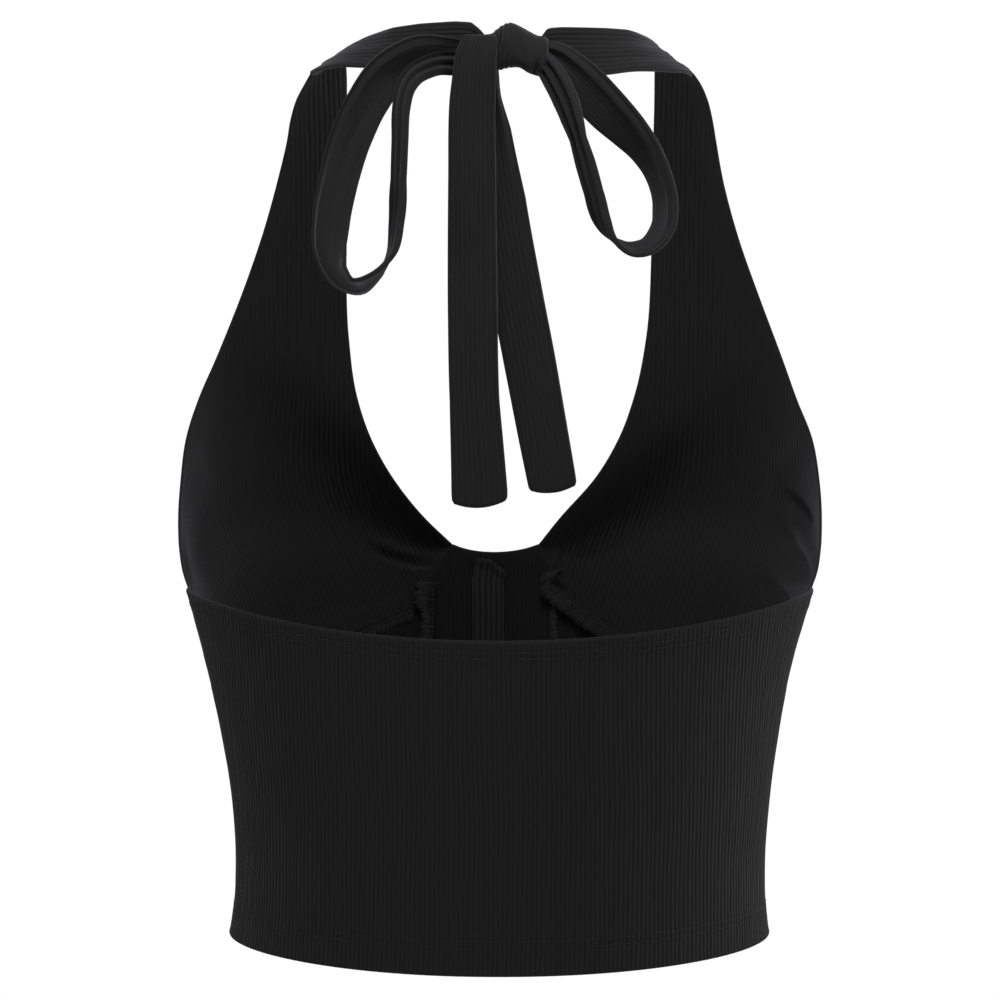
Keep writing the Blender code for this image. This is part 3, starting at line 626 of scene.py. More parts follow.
def neckline_point(side, height):
    """Point of a cup's inner edge: the centre panel's seam, and above it the neckline."""
    if height <= NECK_CORNER_HEIGHT:
        return centre_seam(side, np.array(height))
    across = at_height(NECKLINE, NECKLINE_COLUMNS, "across", height)
    lean = at_height(NECKLINE, NECKLINE_COLUMNS, "lean", height)
    depth = at_height(NECKLINE, NECKLINE_COLUMNS, "depth", height)
    return np.array((side * across + lean, depth, height))


def armhole_point(side, height):
    """Point of a cup's outer edge: the side seam, and above it the armhole."""
    if height <= UNDERARM_HEIGHT:
        return midriff_point(side, 1.0, np.array(height))
    across = at_height(ARMHOLE, ARMHOLE_COLUMNS, "across", height)
    depth = at_height(ARMHOLE, ARMHOLE_COLUMNS, "depth", height)
    lean = at_height(ARMHOLE, ARMHOLE_COLUMNS, "lean", height)
    return np.array((side * across + lean, depth, height))


def cup_section(side, row, shares):
    """One section of a cup, a curve with two handles from the neckline to the armhole."""
    named = dict(zip(CUP_COLUMNS, row))
    start = neckline_point(side, named["neck_height"])
    end = armhole_point(side, named["arm_height"])
    leave = math.radians(named["neck_turn"])
    arrive = math.radians(named["arm_turn"])
    first = start + named["neck_reach"] * np.array((side * math.cos(leave), -math.sin(leave), 0))
    second = end - named["arm_reach"] * np.array((side * math.cos(arrive), math.sin(arrive), 0))
    first[2] += (end[2] - start[2]) / 3
    second[2] -= (end[2] - start[2]) / 3
    u = shares[:, None]
    points = (1 - u) ** 3 * start + 3 * u * (1 - u) ** 2 * first
    points = points + 3 * u ** 2 * (1 - u) * second + u ** 3 * end
    points[:, 2] -= named["drop"] * 4 * shares * (1 - shares)
    return points


def cup_grid(side, rows_below, rows_above, columns):
    """Middle surface of a cup and its strap, from the under-bust seam to the shoulder."""
    shares = shares_across(columns)
    seam = midriff_point(side, shares, cup_seam_height(shares, side))
    sections = np.stack([seam] + [cup_section(side, row, shares) for row in CUP])
    stations = distances(sections[:, columns // 2])
    below = np.linspace(0, stations[2], rows_below + 1)
    above = np.linspace(stations[2], stations[-1], rows_above + 1)
    grid = smooth(stations, sections, np.concatenate((below, above[1:])))
    inner_heights, outer_heights = grid[:, 0, 2].copy(), grid[:, -1, 2].copy()
    inner_heights[:rows_below] = np.linspace(CUP_SEAM[side][0], NECK_CORNER_HEIGHT, rows_below + 1)[:-1]
    outer_heights[:rows_below] = np.linspace(CUP_SEAM_HEIGHT, UNDERARM_HEIGHT, rows_below + 1)[:-1]
    inner_edge = np.array([neckline_point(side, height) for height in inner_heights])
    outer_edge = np.array([armhole_point(side, height) for height in outer_heights])
    near = np.clip(1 - shares / EDGE_SHARE, 0, 1)[None, :, None] ** 1.5
    far = np.clip(1 - (1 - shares) / EDGE_SHARE, 0, 1)[None, :, None] ** 1.5
    grid = grid + near * (inner_edge - grid[:, 0])[:, None]
    return grid + far * (outer_edge - grid[:, -1])[:, None]


over_bust = cup_section(1, CUP[3], np.linspace(0, 1, 50))
print("over the bust the left cup measures", round(distances(over_bust)[-1]), "mm from edge to edge")

# %% [markdown]
# ### Ribs that lean into the gathers
#
# On the strap the ribs run straight up, and the strap's edges cut across them. Over the bust they
# bow a little outwards, and below it they lean towards the centre, where the cup is gathered into
# the centre panel. So each row finds the place where one chosen rib crosses it, and counts the
# other ribs from there. Over the bust the cloth is stretched, so the ribs are further apart.

# %% Flow of the ribs over a cup
FLOW_COLUMNS = ("height", "left_across", "right_across")
FLOW = (
    (-300.0, 48.0, 56.0),
    (-285.0, 54.0, 60.5),
    (-270.0, 60.5, 65.5),
    (-253.5, 69.0, 72.0),
    (-239.4, 77.5, 77.5),
    (-227.6, 83.5, 82.0),
    (-213.5, 88.6, 86.2),
    (-197.0, 91.0, 88.6),
    (-180.0, 90.4, 89.2),
    (-160.0, 88.8, 88.6),
    (-120.0, 88.0, 88.0),
    (-60.0, 87.0, 87.0),
    (0.0, 86.0, 86.0),
)
STRAP_STRETCH = 1.04           # pitch of the ribs on a strap, in resting pitches
BUST_STRETCH = 0.13            # how much it grows over the bust
SIDE_STRETCH = 1.06            # pitch along the cloth at the side, which turns out of sight


def cup_ribs(grid, side):
    """Place of each point of a cup in ribs, counted from the rib that the flow table follows."""
    name = "left_across" if side > 0 else "right_across"
    height = grid[..., 2]
    pitch = RIB_PITCH * (STRAP_STRETCH + BUST_STRETCH * soft_step(-150, -205, height))
    seen = (np.abs(grid[..., 0]) - at_height(FLOW, FLOW_COLUMNS, name, height)) / pitch
    length = np.linalg.norm(np.diff(grid, axis=1), axis=2) / (SIDE_STRETCH * RIB_PITCH)
    share = np.linspace(0, 1, length.shape[1])[None, :]
    turned = soft_step(0.40, 0.90, share)
    steps = np.maximum(np.diff(seen, axis=1), 0.25 * length) * (1 - turned) + length * turned
    return np.concatenate((seen[:, :1], seen[:, :1] + np.cumsum(steps, axis=1)), axis=1)


print("distance between ribs on a strap:", round(RIB_PITCH * STRAP_STRETCH, 2), "mm, over the bust:",
      round(RIB_PITCH * (STRAP_STRETCH + BUST_STRETCH), 2), "mm")

# %% [markdown]
# ### The gathers
#
# The inner lower corner of a cup is eased into the centre panel, so short creases fan out from
# it, and the spare cloth at its side folds below the armhole. A row of even pleats would look
# like a curtain, so each crease has its own place, length and depth. Towards the armhole the knit
# is pulled tight, and its ribs lie flatter.

# %% Cups with their gathers
CUP_CREASES = {
    1: (
        (65.0, -237.0, 30.5, -245.0, 2.0, 1.9),
        (62.0, -233.0, 33.0, -241.0, 1.7, -1.6),
        (58.0, -243.5, 33.0, -248.5, 1.8, -1.0),
        (82.0, -262.0, 44.0, -256.0, 3.0, 1.0),
        (149.0, -216.0, 139.0, -246.0, 2.4, -1.8),
        (151.0, -226.0, 143.0, -252.0, 1.9, 1.9),
        (140.0, -212.0, 132.0, -252.0, 4.0, 0.9),
        (138.0, -182.0, 131.0, -204.0, 4.0, 0.7),
    ),
    -1: (
        (25.5, -236.0, 24.0, -247.5, 1.3, -1.0),
        (29.5, -237.0, 28.5, -247.0, 1.2, 0.9),
        (58.0, -236.0, 33.0, -243.0, 2.4, 0.9),
        (84.0, -262.0, 48.0, -258.0, 3.4, 0.9),
        (132.6, -208.5, 144.0, -222.5, 2.9, 3.8),
        (129.5, -224.0, 140.5, -241.0, 3.6, 3.8),
        (121.5, -246.5, 132.5, -258.5, 3.8, 3.0),
        (137.5, -229.0, 145.0, -240.0, 2.0, -1.4),
        (140.0, -180.0, 130.0, -200.0, 5.0, -0.9),
    ),
}
slack = 1 - 0.65 * soft_step(0.60, 0.86, shares_across(DENSE))
cups = {}
for side, word in ((1, "left"), (-1, "right")):
    cup = crease(cup_grid(side, 34, 104, DENSE), CUP_CREASES[side], ("bottom", "last"))
    panel = ribbed_wall("cup_knit_" + word, cup, cup_ribs(cup, side), flip=side > 0, relief=slack)
    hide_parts("cup_" + word)
    cups[side] = cup

# %% [markdown]
# ## The strip inside the centre front
#
# A narrow strip of the same knit is sewn inside, down the middle of the centre panel. Five deep
# ribs show on it, and its cut top curls away from the panel. It is a wall like the panels, lying
# on the panel's inner face.

# %% Strip
STRIP_WIDTH = 13.4
STRIP_TOP = (-247.6, -241.6)   # height at its right and at its left
STRIP_BOTTOM = -330.0
STRIP_SHIFT = 0.8              # how far it lies to the left of the panel's middle
STRIP_PITCH = 2.7
STRIP_THICKNESS = 1.5
STRIP_RELIEF = 2.2             # its ribs are this much deeper than the panels'
STRIP_LIFT = 2.7               # how far its middle lies off the panel's
STRIP_CURL = 1.9               # how much further its cut top curls away
STRIP_POINTS = 61


def inner_front_normal(points):
    """Normals of the centre front at some points, facing into the body."""
    step = 0.5
    x, z = points[..., 0], points[..., 2]
    slope_across = (torso_front(x + step, z) - torso_front(x - step, z)) / (2 * step)
    slope_up = (torso_front(x, z + step) - torso_front(x, z - step)) / (2 * step)
    return unit(np.stack((-slope_across, np.ones(x.shape), -slope_up), axis=-1))


over = np.linspace(-1, 1, STRIP_POINTS)
top = np.interp(over, (-1, 0.1, 1), (STRIP_TOP[0], STRIP_TOP[1] - 1.2, STRIP_TOP[1]))
heights = STRIP_BOTTOM + np.linspace(0, 1, STRIP_POINTS)[:, None] * (top - STRIP_BOTTOM)
middle = (centre_seam(1, heights)[..., 0] + centre_seam(-1, heights)[..., 0]) / 2 + STRIP_SHIFT
across = middle + over * STRIP_WIDTH / 2
strip = np.stack((across, torso_front(across, heights), heights), axis=-1)
curl = soft_step(-5.0, 0.0, heights - top)
strip = strip + inner_front_normal(strip) * (STRIP_LIFT + STRIP_CURL * curl ** 2)[..., None]
center_strip = ribbed_wall("inner_strip_knit", strip, rib_places(strip, STRIP_PITCH), STRIP_THICKNESS,
                           relief=STRIP_RELIEF)
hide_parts("center_strip")

# %% [markdown]
# ## Ties: tubes of knit pressed flat
#
# A tie is a strip sewn into a tube, turned right side out and pressed flat, with its ribs running
# along it. A flat ribbon would show thin edges, where the real one has round folds. So each
# tie is a hollow tube: an outer face with eleven ribs on each side and a plain inside.
# Where a knot squeezes it, the tube keeps its cloth and folds into pleats.

# %% Flattened tubes with ribs along them
TIE_WIDTH = 21.5
TIE_THICKNESS = 2.1
TIE_WALL = 0.85
TIE_RIBS = 22                  # ribs all round a tie
TIE_POINTS = TIE_RIBS * STEPS
PLEATS = 2.5                   # folds across a tie that is squeezed
PLEAT_DEPTH = 2.6


def pressed_section(width, thickness):
    """Section of a pressed tube: places across it and out of it, and which way it faces there."""
    half, radius = width / 2 - thickness / 2, thickness / 2
    perimeter = 4 * half + 2 * math.pi * radius
    at = (np.arange(TIE_POINTS) + 0.5) / TIE_POINTS * perimeter
    side = np.where(at < perimeter / 2, 1.0, -1.0)[:, None]
    at = at % (perimeter / 2)
    flat = np.clip(at - math.pi * radius / 2, 0, 2 * half)
    turn = (at - flat) / radius - math.pi / 2
    facing = side * np.stack((np.sin(turn), np.cos(turn)), axis=-1)
    return side * np.stack((flat - half, 0 * flat), axis=-1) + radius * facing, facing


def ribbed_tube(name, middle, over, face, shape, relief, outer=1):
    """Hollow flattened tube along a middle line, with over pointing across it and face out of it.
    Shape holds, for every row, width, thickness, roll of the outer edge, folds and round end."""
    along = np.cross(face, over)
    level = distances(middle)
    number = np.arange(TIE_POINTS) // STEPS
    ridge = RIB_PROFILE[np.arange(TIE_POINTS) % STEPS] * RIB_DEPTH * relief
    rows, inner_count = len(middle), TIE_POINTS // STEPS
    points, chart = [], []
    for wall, step in ((0.0, 1), (TIE_WALL, STEPS)):
        for i in range(rows):
            width, thickness, roll, fold, end = shape[i]
            section, facing = pressed_section(TIE_WIDTH - 2 * wall, max(thickness - 2 * wall, 0.3))
            if not wall:
                uneven = 0.45 * np.sin(1.9 * number + 0.013 * level[i])
                uneven = 1 + uneven * np.sin(0.7 * number - 0.021 * level[i])
                section = section + facing * (ridge * uneven)[:, None]
            across, out = section[step // 2::step].T if step > 1 else section.T
            place = across / (TIE_WIDTH / 2)
            squeeze = width / TIE_WIDTH
            depth = fold + PLEAT_DEPTH * np.clip(1 - squeeze, 0, 0.6)
            out = out + depth * np.sin(math.pi * PLEATS * place + 0.015 * level[i])
            edge = outer * place
            out = out + roll * (0.36 * hill(edge, 0.88, 0.14) - 0.20 * hill(edge, 0.60, 0.13))
            points.append(middle[i] + np.outer(across * squeeze, over[i]) + np.outer(out, face[i])
                          - np.outer(end * place ** 2, along[i]))
            ribs = np.arange(len(out)) * step / STEPS
            chart.append(np.stack((ribs, np.full(len(out), level[i])), axis=-1))
    faces = []
    base = TIE_POINTS * rows
    for i in range(rows - 1):
        here, there = i * TIE_POINTS, (i + 1) * TIE_POINTS
        for k in range(TIE_POINTS):
            n = (k + 1) % TIE_POINTS
            faces.append((here + k, there + k, there + n, here + n))
        here, there = base + i * inner_count, base + (i + 1) * inner_count
        for k in range(inner_count):
            n = (k + 1) % inner_count
            faces.append((here + n, there + n, there + k, here + k))
    for end, order in ((0, 1), (rows - 1, -1)):
        for k in range(inner_count):
            n = (k + 1) % inner_count
            fan = [end * TIE_POINTS + (STEPS * k + STEPS // 2 + j) % TIE_POINTS for j in range(STEPS + 1)]
            ring = fan + [base + end * inner_count + n, base + end * inner_count + k]
            faces.append(tuple(ring[::order]))
    piece = make_piece(name, np.concatenate(points), faces, np.concatenate(chart))
    print(name, "length", round(level[-1], 1), "mm, faces", len(faces))
    return piece

# %% [markdown]
# ### Round the neck
#
# From the shoulder seam each tie goes round the side of the neck to the knot. It starts sloping
# down over the shoulder, like the strap that it is sewn to, and turns upright at the nape. Its
# table holds, by angle round the neck, where its lower and its upper edge lie.

# %% Neck ties
TIE_ROWS = 64                  # sections along a neck tie
TIE_RELIEF = 0.7               # its ribs are flatter than the body's
TIE_COLUMNS = ("azimuth", "low_radius", "low_height", "high_radius", "high_height")
TIE_LEFT = (
    (0.0, 84.3, -13.4, 69.6, -4.0),
    (12.0, 81.9, -11.2, 65.8, -0.2),
    (24.0, 79.4, -9.7, 64.4, 2.7),
    (36.0, 76.0, -10.0, 64.0, 5.4),
    (45.0, 73.0, -10.4, 65.0, 7.4),
    (57.0, 67.5, -11.0, 64.2, 9.1),
    (72.0, 63.8, -11.0, 63.2, 10.0),
    (78.5, 62.9, -10.8, 62.6, 9.6),
    (82.0, 62.5, -9.8, 62.5, 6.6),
    (84.0, 62.5, -9.0, 62.5, 4.0),
)
TIE_RIGHT = (
    (0.0, 86.1, -13.4, 69.7, -3.8),
    (12.0, 84.2, -11.9, 68.9, 0.4),
    (20.0, 82.3, -11.6, 69.0, 2.2),
    (28.0, 79.5, -11.4, 69.8, 3.7),
    (40.0, 75.6, -11.8, 71.6, 6.4),
    (50.0, 72.8, -13.2, 71.6, 7.1),
    (60.0, 70.0, -13.9, 69.6, 7.4),
    (67.0, 67.8, -13.6, 67.6, 7.5),
    (72.0, 66.5, -13.2, 66.5, 7.0),
    (74.6, 66.2, -12.4, 66.2, 3.0),
)


def neck_tie(name, side, table):
    """A tie from the shoulder seam round the neck to the knot."""
    azimuths = column(table, TIE_COLUMNS, "azimuth")
    at = np.linspace(azimuths[0], azimuths[-1], TIE_ROWS + 1)
    low_radius, low_height, high_radius = [
        smooth(azimuths, column(table, TIE_COLUMNS, word), at) for word in TIE_COLUMNS[1:4]]
    high_height = np.interp(at, azimuths, column(table, TIE_COLUMNS, "high_height"))
    round_neck = np.radians(at)
    outward = np.stack((side * np.cos(round_neck), np.sin(round_neck), 0 * at), axis=-1)
    upward = np.array((0.0, 0.0, 1.0))
    low = outward * low_radius[:, None] + upward * low_height[:, None]
    high = outward * high_radius[:, None] + upward * high_height[:, None]
    middle = (low + high) / 2
    rise = unit(high - low)
    width = np.linalg.norm(high - low, axis=1)
    along = unit(np.gradient(middle, axis=0, edge_order=2))
    face = unit(np.cross(along, rise)) * side
    flat = np.zeros(TIE_ROWS + 1)
    shape = np.stack((width, flat + TIE_THICKNESS, flat, flat, flat), axis=-1)
    return ribbed_tube(name, middle, rise * -side, face, shape, TIE_RELIEF)


tie_left = neck_tie("neck_tie_knit_left", 1, TIE_LEFT)
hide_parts("neck_tie_left")
tie_right = neck_tie("neck_tie_knit_right", -1, TIE_RIGHT)
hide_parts("neck_tie_right")

# %% [markdown]
# ### Loops and tails of the bow
#
# Behind the neck the ties form two drooping loops and two free ends. Each is drawn along its own
# middle line, with the angle at which its face turns and the share of its full width that shows.
# Where the share is small, beside the knot, the tube above folds itself into pleats. A fold of
# its own deepens them, and a negative one means that the cloth is pulled smooth. The outer edge
# of a loop is rolled into a soft ridge. A tail ends in a sewn edge with rounded corners.

# %% Middle lines of the bow
RIBBON_COLUMNS = ("across", "depth", "height", "turn", "width", "roll", "fold")
LOOP_LEFT = (
    (9.2, 70.0, -5.4, -4.0, 0.55, 0.6, 0.0),
    (13.0, 70.3, -5.4, -10.0, 0.64, 1.2, 0.0),
    (21.0, 71.0, -4.9, -24.0, 0.8, 2.4, 0.0),
    (34.0, 72.5, -4.9, -32.0, 0.96, 3.2, 0.0),
    (47.6, 73.3, -12.2, -30.0, 0.96, 3.4, 0.0),
    (57.4, 73.8, -25.4, -16.0, 0.88, 3.4, 0.0),
    (65.1, 74.5, -42.2, 4.0, 0.84, 3.4, 0.0),
    (70.0, 75.5, -59.2, 20.0, 0.86, 3.4, 0.0),
    (73.1, 77.0, -75.6, 32.0, 0.92, 3.2, 0.0),
    (73.2, 79.5, -89.0, 45.0, 0.98, 2.6, 0.0),
    (68.6, 83.0, -99.2, 59.0, 1.0, 1.8, 0.0),
    (61.2, 86.5, -102.9, 69.0, 1.0, 1.2, 0.0),
    (53.4, 89.0, -98.6, 80.0, 0.98, 0.6, 0.0),
    (46.2, 90.0, -88.0, 98.0, 0.86, 0.0, 0.0),
    (44.3, 90.0, -76.0, 112.0, 0.5, 0.0, -0.5),
    (43.5, 90.0, -58.0, 142.0, 0.32, 0.0, -1.0),
    (42.9, 89.5, -41.4, 154.0, 0.33, 0.0, -1.0),
    (42.3, 88.5, -27.0, 158.0, 0.36, 0.0, -1.0),
    (40.4, 86.2, -18.2, 160.0, 0.4, 0.0, -0.9),
    (36.4, 83.2, -12.6, 162.0, 0.44, 0.0, -0.7),
    (31.4, 80.6, -9.8, 165.0, 0.45, 0.0, -0.5),
    (25.8, 78.4, -8.2, 168.0, 0.46, 0.0, -0.3),
    (20.4, 76.8, -8.2, 172.0, 0.48, 0.0, 0.0),
    (13.0, 75.9, -8.4, 178.0, 0.46, 0.0, 0.0),
    (9.2, 75.6, -8.4, 180.0, 0.44, 0.0, 0.0),
)
LOOP_RIGHT = (
    (-18.6, 70.0, -4.4, 0.0, 0.58, 0.8, 0.0),
    (-24.0, 70.4, -6.4, 8.0, 0.7, 1.6, 0.0),
    (-30.0, 71.2, -11.4, 16.0, 0.84, 2.6, 0.0),
    (-37.9, 72.6, -19.4, 24.0, 0.98, 3.2, 0.0),
    (-47.4, 73.6, -29.3, 32.0, 1.0, 3.4, 0.0),
    (-55.0, 74.4, -36.9, 43.0, 1.0, 3.2, 0.0),
    (-61.8, 75.0, -44.9, 55.0, 1.0, 2.8, 0.0),
    (-67.9, 75.6, -55.8, 64.0, 1.0, 2.4, 0.0),
    (-71.0, 76.4, -67.4, 66.0, 1.0, 2.2, 0.0),
    (-70.0, 78.0, -79.0, 68.0, 1.0, 1.8, 0.0),
    (-64.4, 80.5, -86.2, 74.0, 1.0, 1.0, 0.0),
    (-56.0, 83.0, -87.8, 80.0, 0.98, 0.5, 0.0),
    (-48.5, 85.0, -83.2, 93.0, 0.9, 0.0, 0.0),
    (-43.8, 86.0, -74.4, 116.0, 0.58, 0.0, 0.0),
    (-40.4, 86.5, -63.4, 140.0, 0.43, 0.0, -0.8),
    (-36.8, 86.5, -51.0, 152.0, 0.41, 0.0, -0.7),
    (-33.6, 86.2, -40.4, 158.0, 0.33, 0.0, -0.5),
    (-31.4, 85.6, -33.2, 160.0, 0.42, 0.0, 0.0),
    (-28.4, 83.8, -24.4, 162.0, 0.5, 0.0, 0.2),
    (-23.9, 80.0, -15.2, 164.0, 0.5, 0.0, 0.3),
    (-20.4, 75.6, -9.6, 166.0, 0.46, 0.0, 0.2),
    (-17.2, 71.8, -6.2, 170.0, 0.42, 0.0, 0.1),
)
TAIL_LEFT = (
    (8.2, 75.4, 3.3, 0.0, 0.58, 0.0, -1.0),
    (8.3, 77.2, 2.3, 0.0, 0.64, 0.0, -0.8),
    (8.7, 78.9, 0.7, 0.0, 0.72, 0.2, -0.6),
    (9.5, 80.1, -1.9, 0.0, 0.78, 0.8, -0.4),
    (10.5, 81.0, -6.7, 0.0, 0.84, 1.4, -0.25),
    (11.0, 81.3, -13.6, 0.0, 0.88, 1.8, -0.15),
    (11.8, 81.6, -23.8, 0.0, 0.92, 1.8, 0.0),
    (12.0, 82.0, -58.2, 0.0, 0.96, 1.8, 0.0),
    (11.8, 82.4, -109.9, 0.0, 1.0, 1.6, 0.0),
    (11.0, 82.0, -153.1, 0.0, 1.0, 1.2, 0.0),
    (9.8, 81.6, -174.8, 0.0, 1.07, 0.6, 0.0),
    (8.9, 81.4, -192.8, 0.0, 1.13, 0.0, 0.0),
    (8.7, 81.4, -198.2, 0.0, 1.12, 0.0, 0.0),
    (8.6, 81.4, -200.0, 0.0, 1.04, 0.0, 0.0),
)
TAIL_RIGHT = (
    (4.6, 70.4, -10.3, -10.0, 0.40, 0.0, 0.0),
    (4.9, 71.2, -22.0, -14.0, 0.54, 0.0, 0.2),
    (3.4, 73.0, -37.0, -14.0, 0.80, 0.3, 0.2),
    (-0.4, 74.6, -67.0, -10.0, 1.02, 0.6, 0.0),
    (-6.2, 75.8, -101.6, -6.0, 1.05, 0.7, 0.0),
    (-12.8, 76.6, -136.2, -3.0, 1.05, 0.6, 0.0),
    (-19.2, 77.0, -170.9, 0.0, 1.01, 0.3, 0.0),
    (-22.6, 77.2, -189.0, 0.0, 0.98, 0.0, 0.0),
    (-23.2, 77.2, -192.4, 0.0, 0.97, 0.0, 0.0),
    (-23.4, 77.2, -193.8, 0.0, 0.90, 0.0, 0.0),
)
print("places along the loops:", len(LOOP_LEFT), "left and", len(LOOP_RIGHT), "right, along the tails:",
      len(TAIL_LEFT), "left and", len(TAIL_RIGHT), "right")

# %% Loops and tails
ROUND_LENGTH = 9.0             # length over which the sewn end of a tail is rounded
THIN_LENGTH = 5.0              # and over which it is pressed thin


def bow_ribbon(name, table, rows, relief, outer=1, round_end=0.0):
    """A stretch of tie along its own middle line, turned about that line as the table says."""
    line = np.stack([column(table, RIBBON_COLUMNS, word) for word in RIBBON_COLUMNS[:3]], axis=-1)
    stations = distances(line)
    at = np.linspace(0, stations[-1], rows + 1)
    middle = smooth(stations, line, at)
    turn = np.radians(smooth(stations, column(table, RIBBON_COLUMNS, "turn"), at))[:, None]
    width, roll, fold = [np.interp(at, stations, column(table, RIBBON_COLUMNS, word))
                         for word in ("width", "roll", "fold")]
    along = unit(np.gradient(middle, axis=0, edge_order=2))
    behind = unit(np.array((0.0, 1.0, 0.0)) - along * along[:, 1:2])
    sideways = unit(np.cross(behind, along))
    over = np.cos(turn) * sideways + np.sin(turn) * behind
    face = unit(np.cross(over, along))
    end = round_end * soft_step(at[-1] - ROUND_LENGTH, at[-1], at)
    pressed = 0.45 * np.sign(round_end) * soft_step(at[-1] - THIN_LENGTH, at[-1], at)
    shape = np.stack((TIE_WIDTH * width, TIE_THICKNESS * (1 - pressed), roll, fold, end), axis=-1)
    return ribbed_tube(name, middle, over, face, shape, relief, outer)


loop_left = bow_ribbon("bow_loop_knit_left", LOOP_LEFT, 200, relief=0.35, outer=-1)
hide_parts("bow_loop_left")
loop_right = bow_ribbon("bow_loop_knit_right", LOOP_RIGHT, 180, relief=0.35)
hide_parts("bow_loop_right")
tail_left = bow_ribbon("bow_tail_knit_left", TAIL_LEFT, 120, relief=0.6, round_end=2.4)
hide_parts("bow_tail_left")
tail_right = bow_ribbon("bow_tail_knit_right", TAIL_RIGHT, 110, relief=0.6, round_end=2.0)
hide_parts("bow_tail_right")

# %% [markdown]
# ### The knot
#
# The knot is the tie wrapped once round the other, so its ribs run round it, from the top over
# the face and down. It could be a lump with a bump map. Here it is rings of points with the
# tie's ribs and a few soft folds where the wrap is pulled tight, and a hollow inside.

# %% Shell of the knot
KNOT_COLUMNS = ("across", "top", "bottom", "swell")
KNOT = (
    (9.5, 1.4, -9.0, 0.8),
    (5.5, 3.6, -11.0, 0.95),
    (3.4, 5.2, -11.8, 0.98),
    (-0.4, 8.2, -11.4, 1.02),
    (-4.3, 9.7, -10.6, 1.04),
    (-8.2, 8.7, -10.4, 1.04),
    (-12.4, 6.2, -12.8, 1.02),
    (-16.4, 4.2, -14.1, 0.98),
    (-19.6, 3.6, -14.6, 0.9),
    (-21.2, 2.4, -13.8, 0.78),
)
KNOT_DEPTH = 70.0
KNOT_HALF_DEPTH = 8.6
KNOT_SQUARENESS = 2.6
KNOT_RINGS = 57
KNOT_POINTS = 96
HOLLOW_RINGS = KNOT_RINGS // STEPS
HOLLOW_POINTS = KNOT_POINTS // STEPS


def round_ring(count):
    """Angles of the points of a ring: 0 is the knot's outer face, and they rise to its top."""
    return 2 * math.pi * np.arange(count) / count


def knot_shell(inset, rings, angle):
    """Rings of points of the knot, drawn in by an inset."""
    across = column(KNOT, KNOT_COLUMNS, "across")[::-1]
    top, bottom, swell = [column(KNOT, KNOT_COLUMNS, name)[::-1] for name in KNOT_COLUMNS[1:]]
    at = np.linspace(across[0] + inset, across[-1] - inset, rings)
    top, bottom, swell = [smooth(across, values, at) for values in (top, bottom, swell)]
    sine = np.sign(np.sin(angle)) * np.abs(np.sin(angle)) ** (2 / KNOT_SQUARENESS)
    cosine = np.sign(np.cos(angle)) * np.abs(np.cos(angle)) ** (2 / KNOT_SQUARENESS)
    half = (top - bottom) / 2 - inset
    height = ((top + bottom) / 2)[:, None] + half[:, None] * sine
    depth = KNOT_DEPTH + (KNOT_HALF_DEPTH * swell - inset)[:, None] * cosine
    return np.stack(np.broadcast_arrays(at[:, None], depth, height), axis=-1)


angle = round_ring(KNOT_POINTS)
shell = knot_shell(0.4, KNOT_RINGS, angle)
hollow = knot_shell(2.6, HOLLOW_RINGS, round_ring(HOLLOW_POINTS))
print("the knot is", [round(np.ptp(shell[..., k]), 1) for k in range(3)], "mm wide, deep and high")

# %% Ribs and folds of the knot
# Place along the knot (0 right, 1 left), reach, depth, slant, and angle on the wrap with its reach.
FOLD_COLUMNS = ("place", "reach", "depth", "slant", "angle", "spread")
KNOT_FOLDS = (
    (0.71, 0.040, -2.2, 0.05, 0.35, 0.60),
    (0.40, 0.060, -0.7, -0.12, 0.00, 0.90),
    (0.13, 0.040, -1.5, 0.07, -0.62, 0.50),
    (0.22, 0.050, 0.8, 0.07, -0.50, 0.50),
    (0.84, 0.050, -0.9, 0.10, 0.30, 0.80),
    (0.50, 0.070, -1.0, 0.10, 3.14, 1.40),
)
KNOT_RADIUS = 12               # of the wrap, for the courses of its stitches
ring = np.arange(KNOT_RINGS)[:, None]
place = ring / (KNOT_RINGS - 1)
slant = 0.9 * np.sin(angle)[None, :]
profile = np.append(RIB_PROFILE, RIB_PROFILE[0])
ribs = np.interp((ring / STEPS + slant) % 1 * STEPS, np.arange(STEPS + 1), profile)
ribs = ribs * (0.12 + 1.1 * soft_step(0.50, 0.57, place))
folds = 0.0
for row in KNOT_FOLDS:
    named = dict(zip(FOLD_COLUMNS, row))
    turned = np.abs((angle - named["angle"] + math.pi) % (2 * math.pi) - math.pi)
    here = hill(place, named["place"] - named["slant"] * np.sin(angle)[None, :], named["reach"])
    folds = folds + named["depth"] * here * hill(turned, 0, named["spread"])[None, :]
ends = np.sqrt(np.clip(np.minimum(ring, KNOT_RINGS - 1 - ring) / 4, 0, 1))
outward = np.stack((0 * angle, np.cos(angle), np.sin(angle)), axis=-1)[None]
shell = shell + outward * (ribs * RIB_DEPTH * ends + folds * ends)[..., None]
chart = np.stack(np.broadcast_arrays(ring / STEPS + slant, angle * KNOT_RADIUS), axis=-1)
print("the folds of the knot are up to", round(-folds.min(), 1), "mm deep")

# %% Closing the knot
def knot_faces(rings, around, base, flip):
    """Faces round a stack of rings."""
    faces = []
    for i in range(rings - 1):
        for k in range(around):
            n = (k + 1) % around
            here, there = base + i * around, base + (i + 1) * around
            face = (here + k, here + n, there + n, there + k)
            faces.append(face[::-1] if flip else face)
    return faces


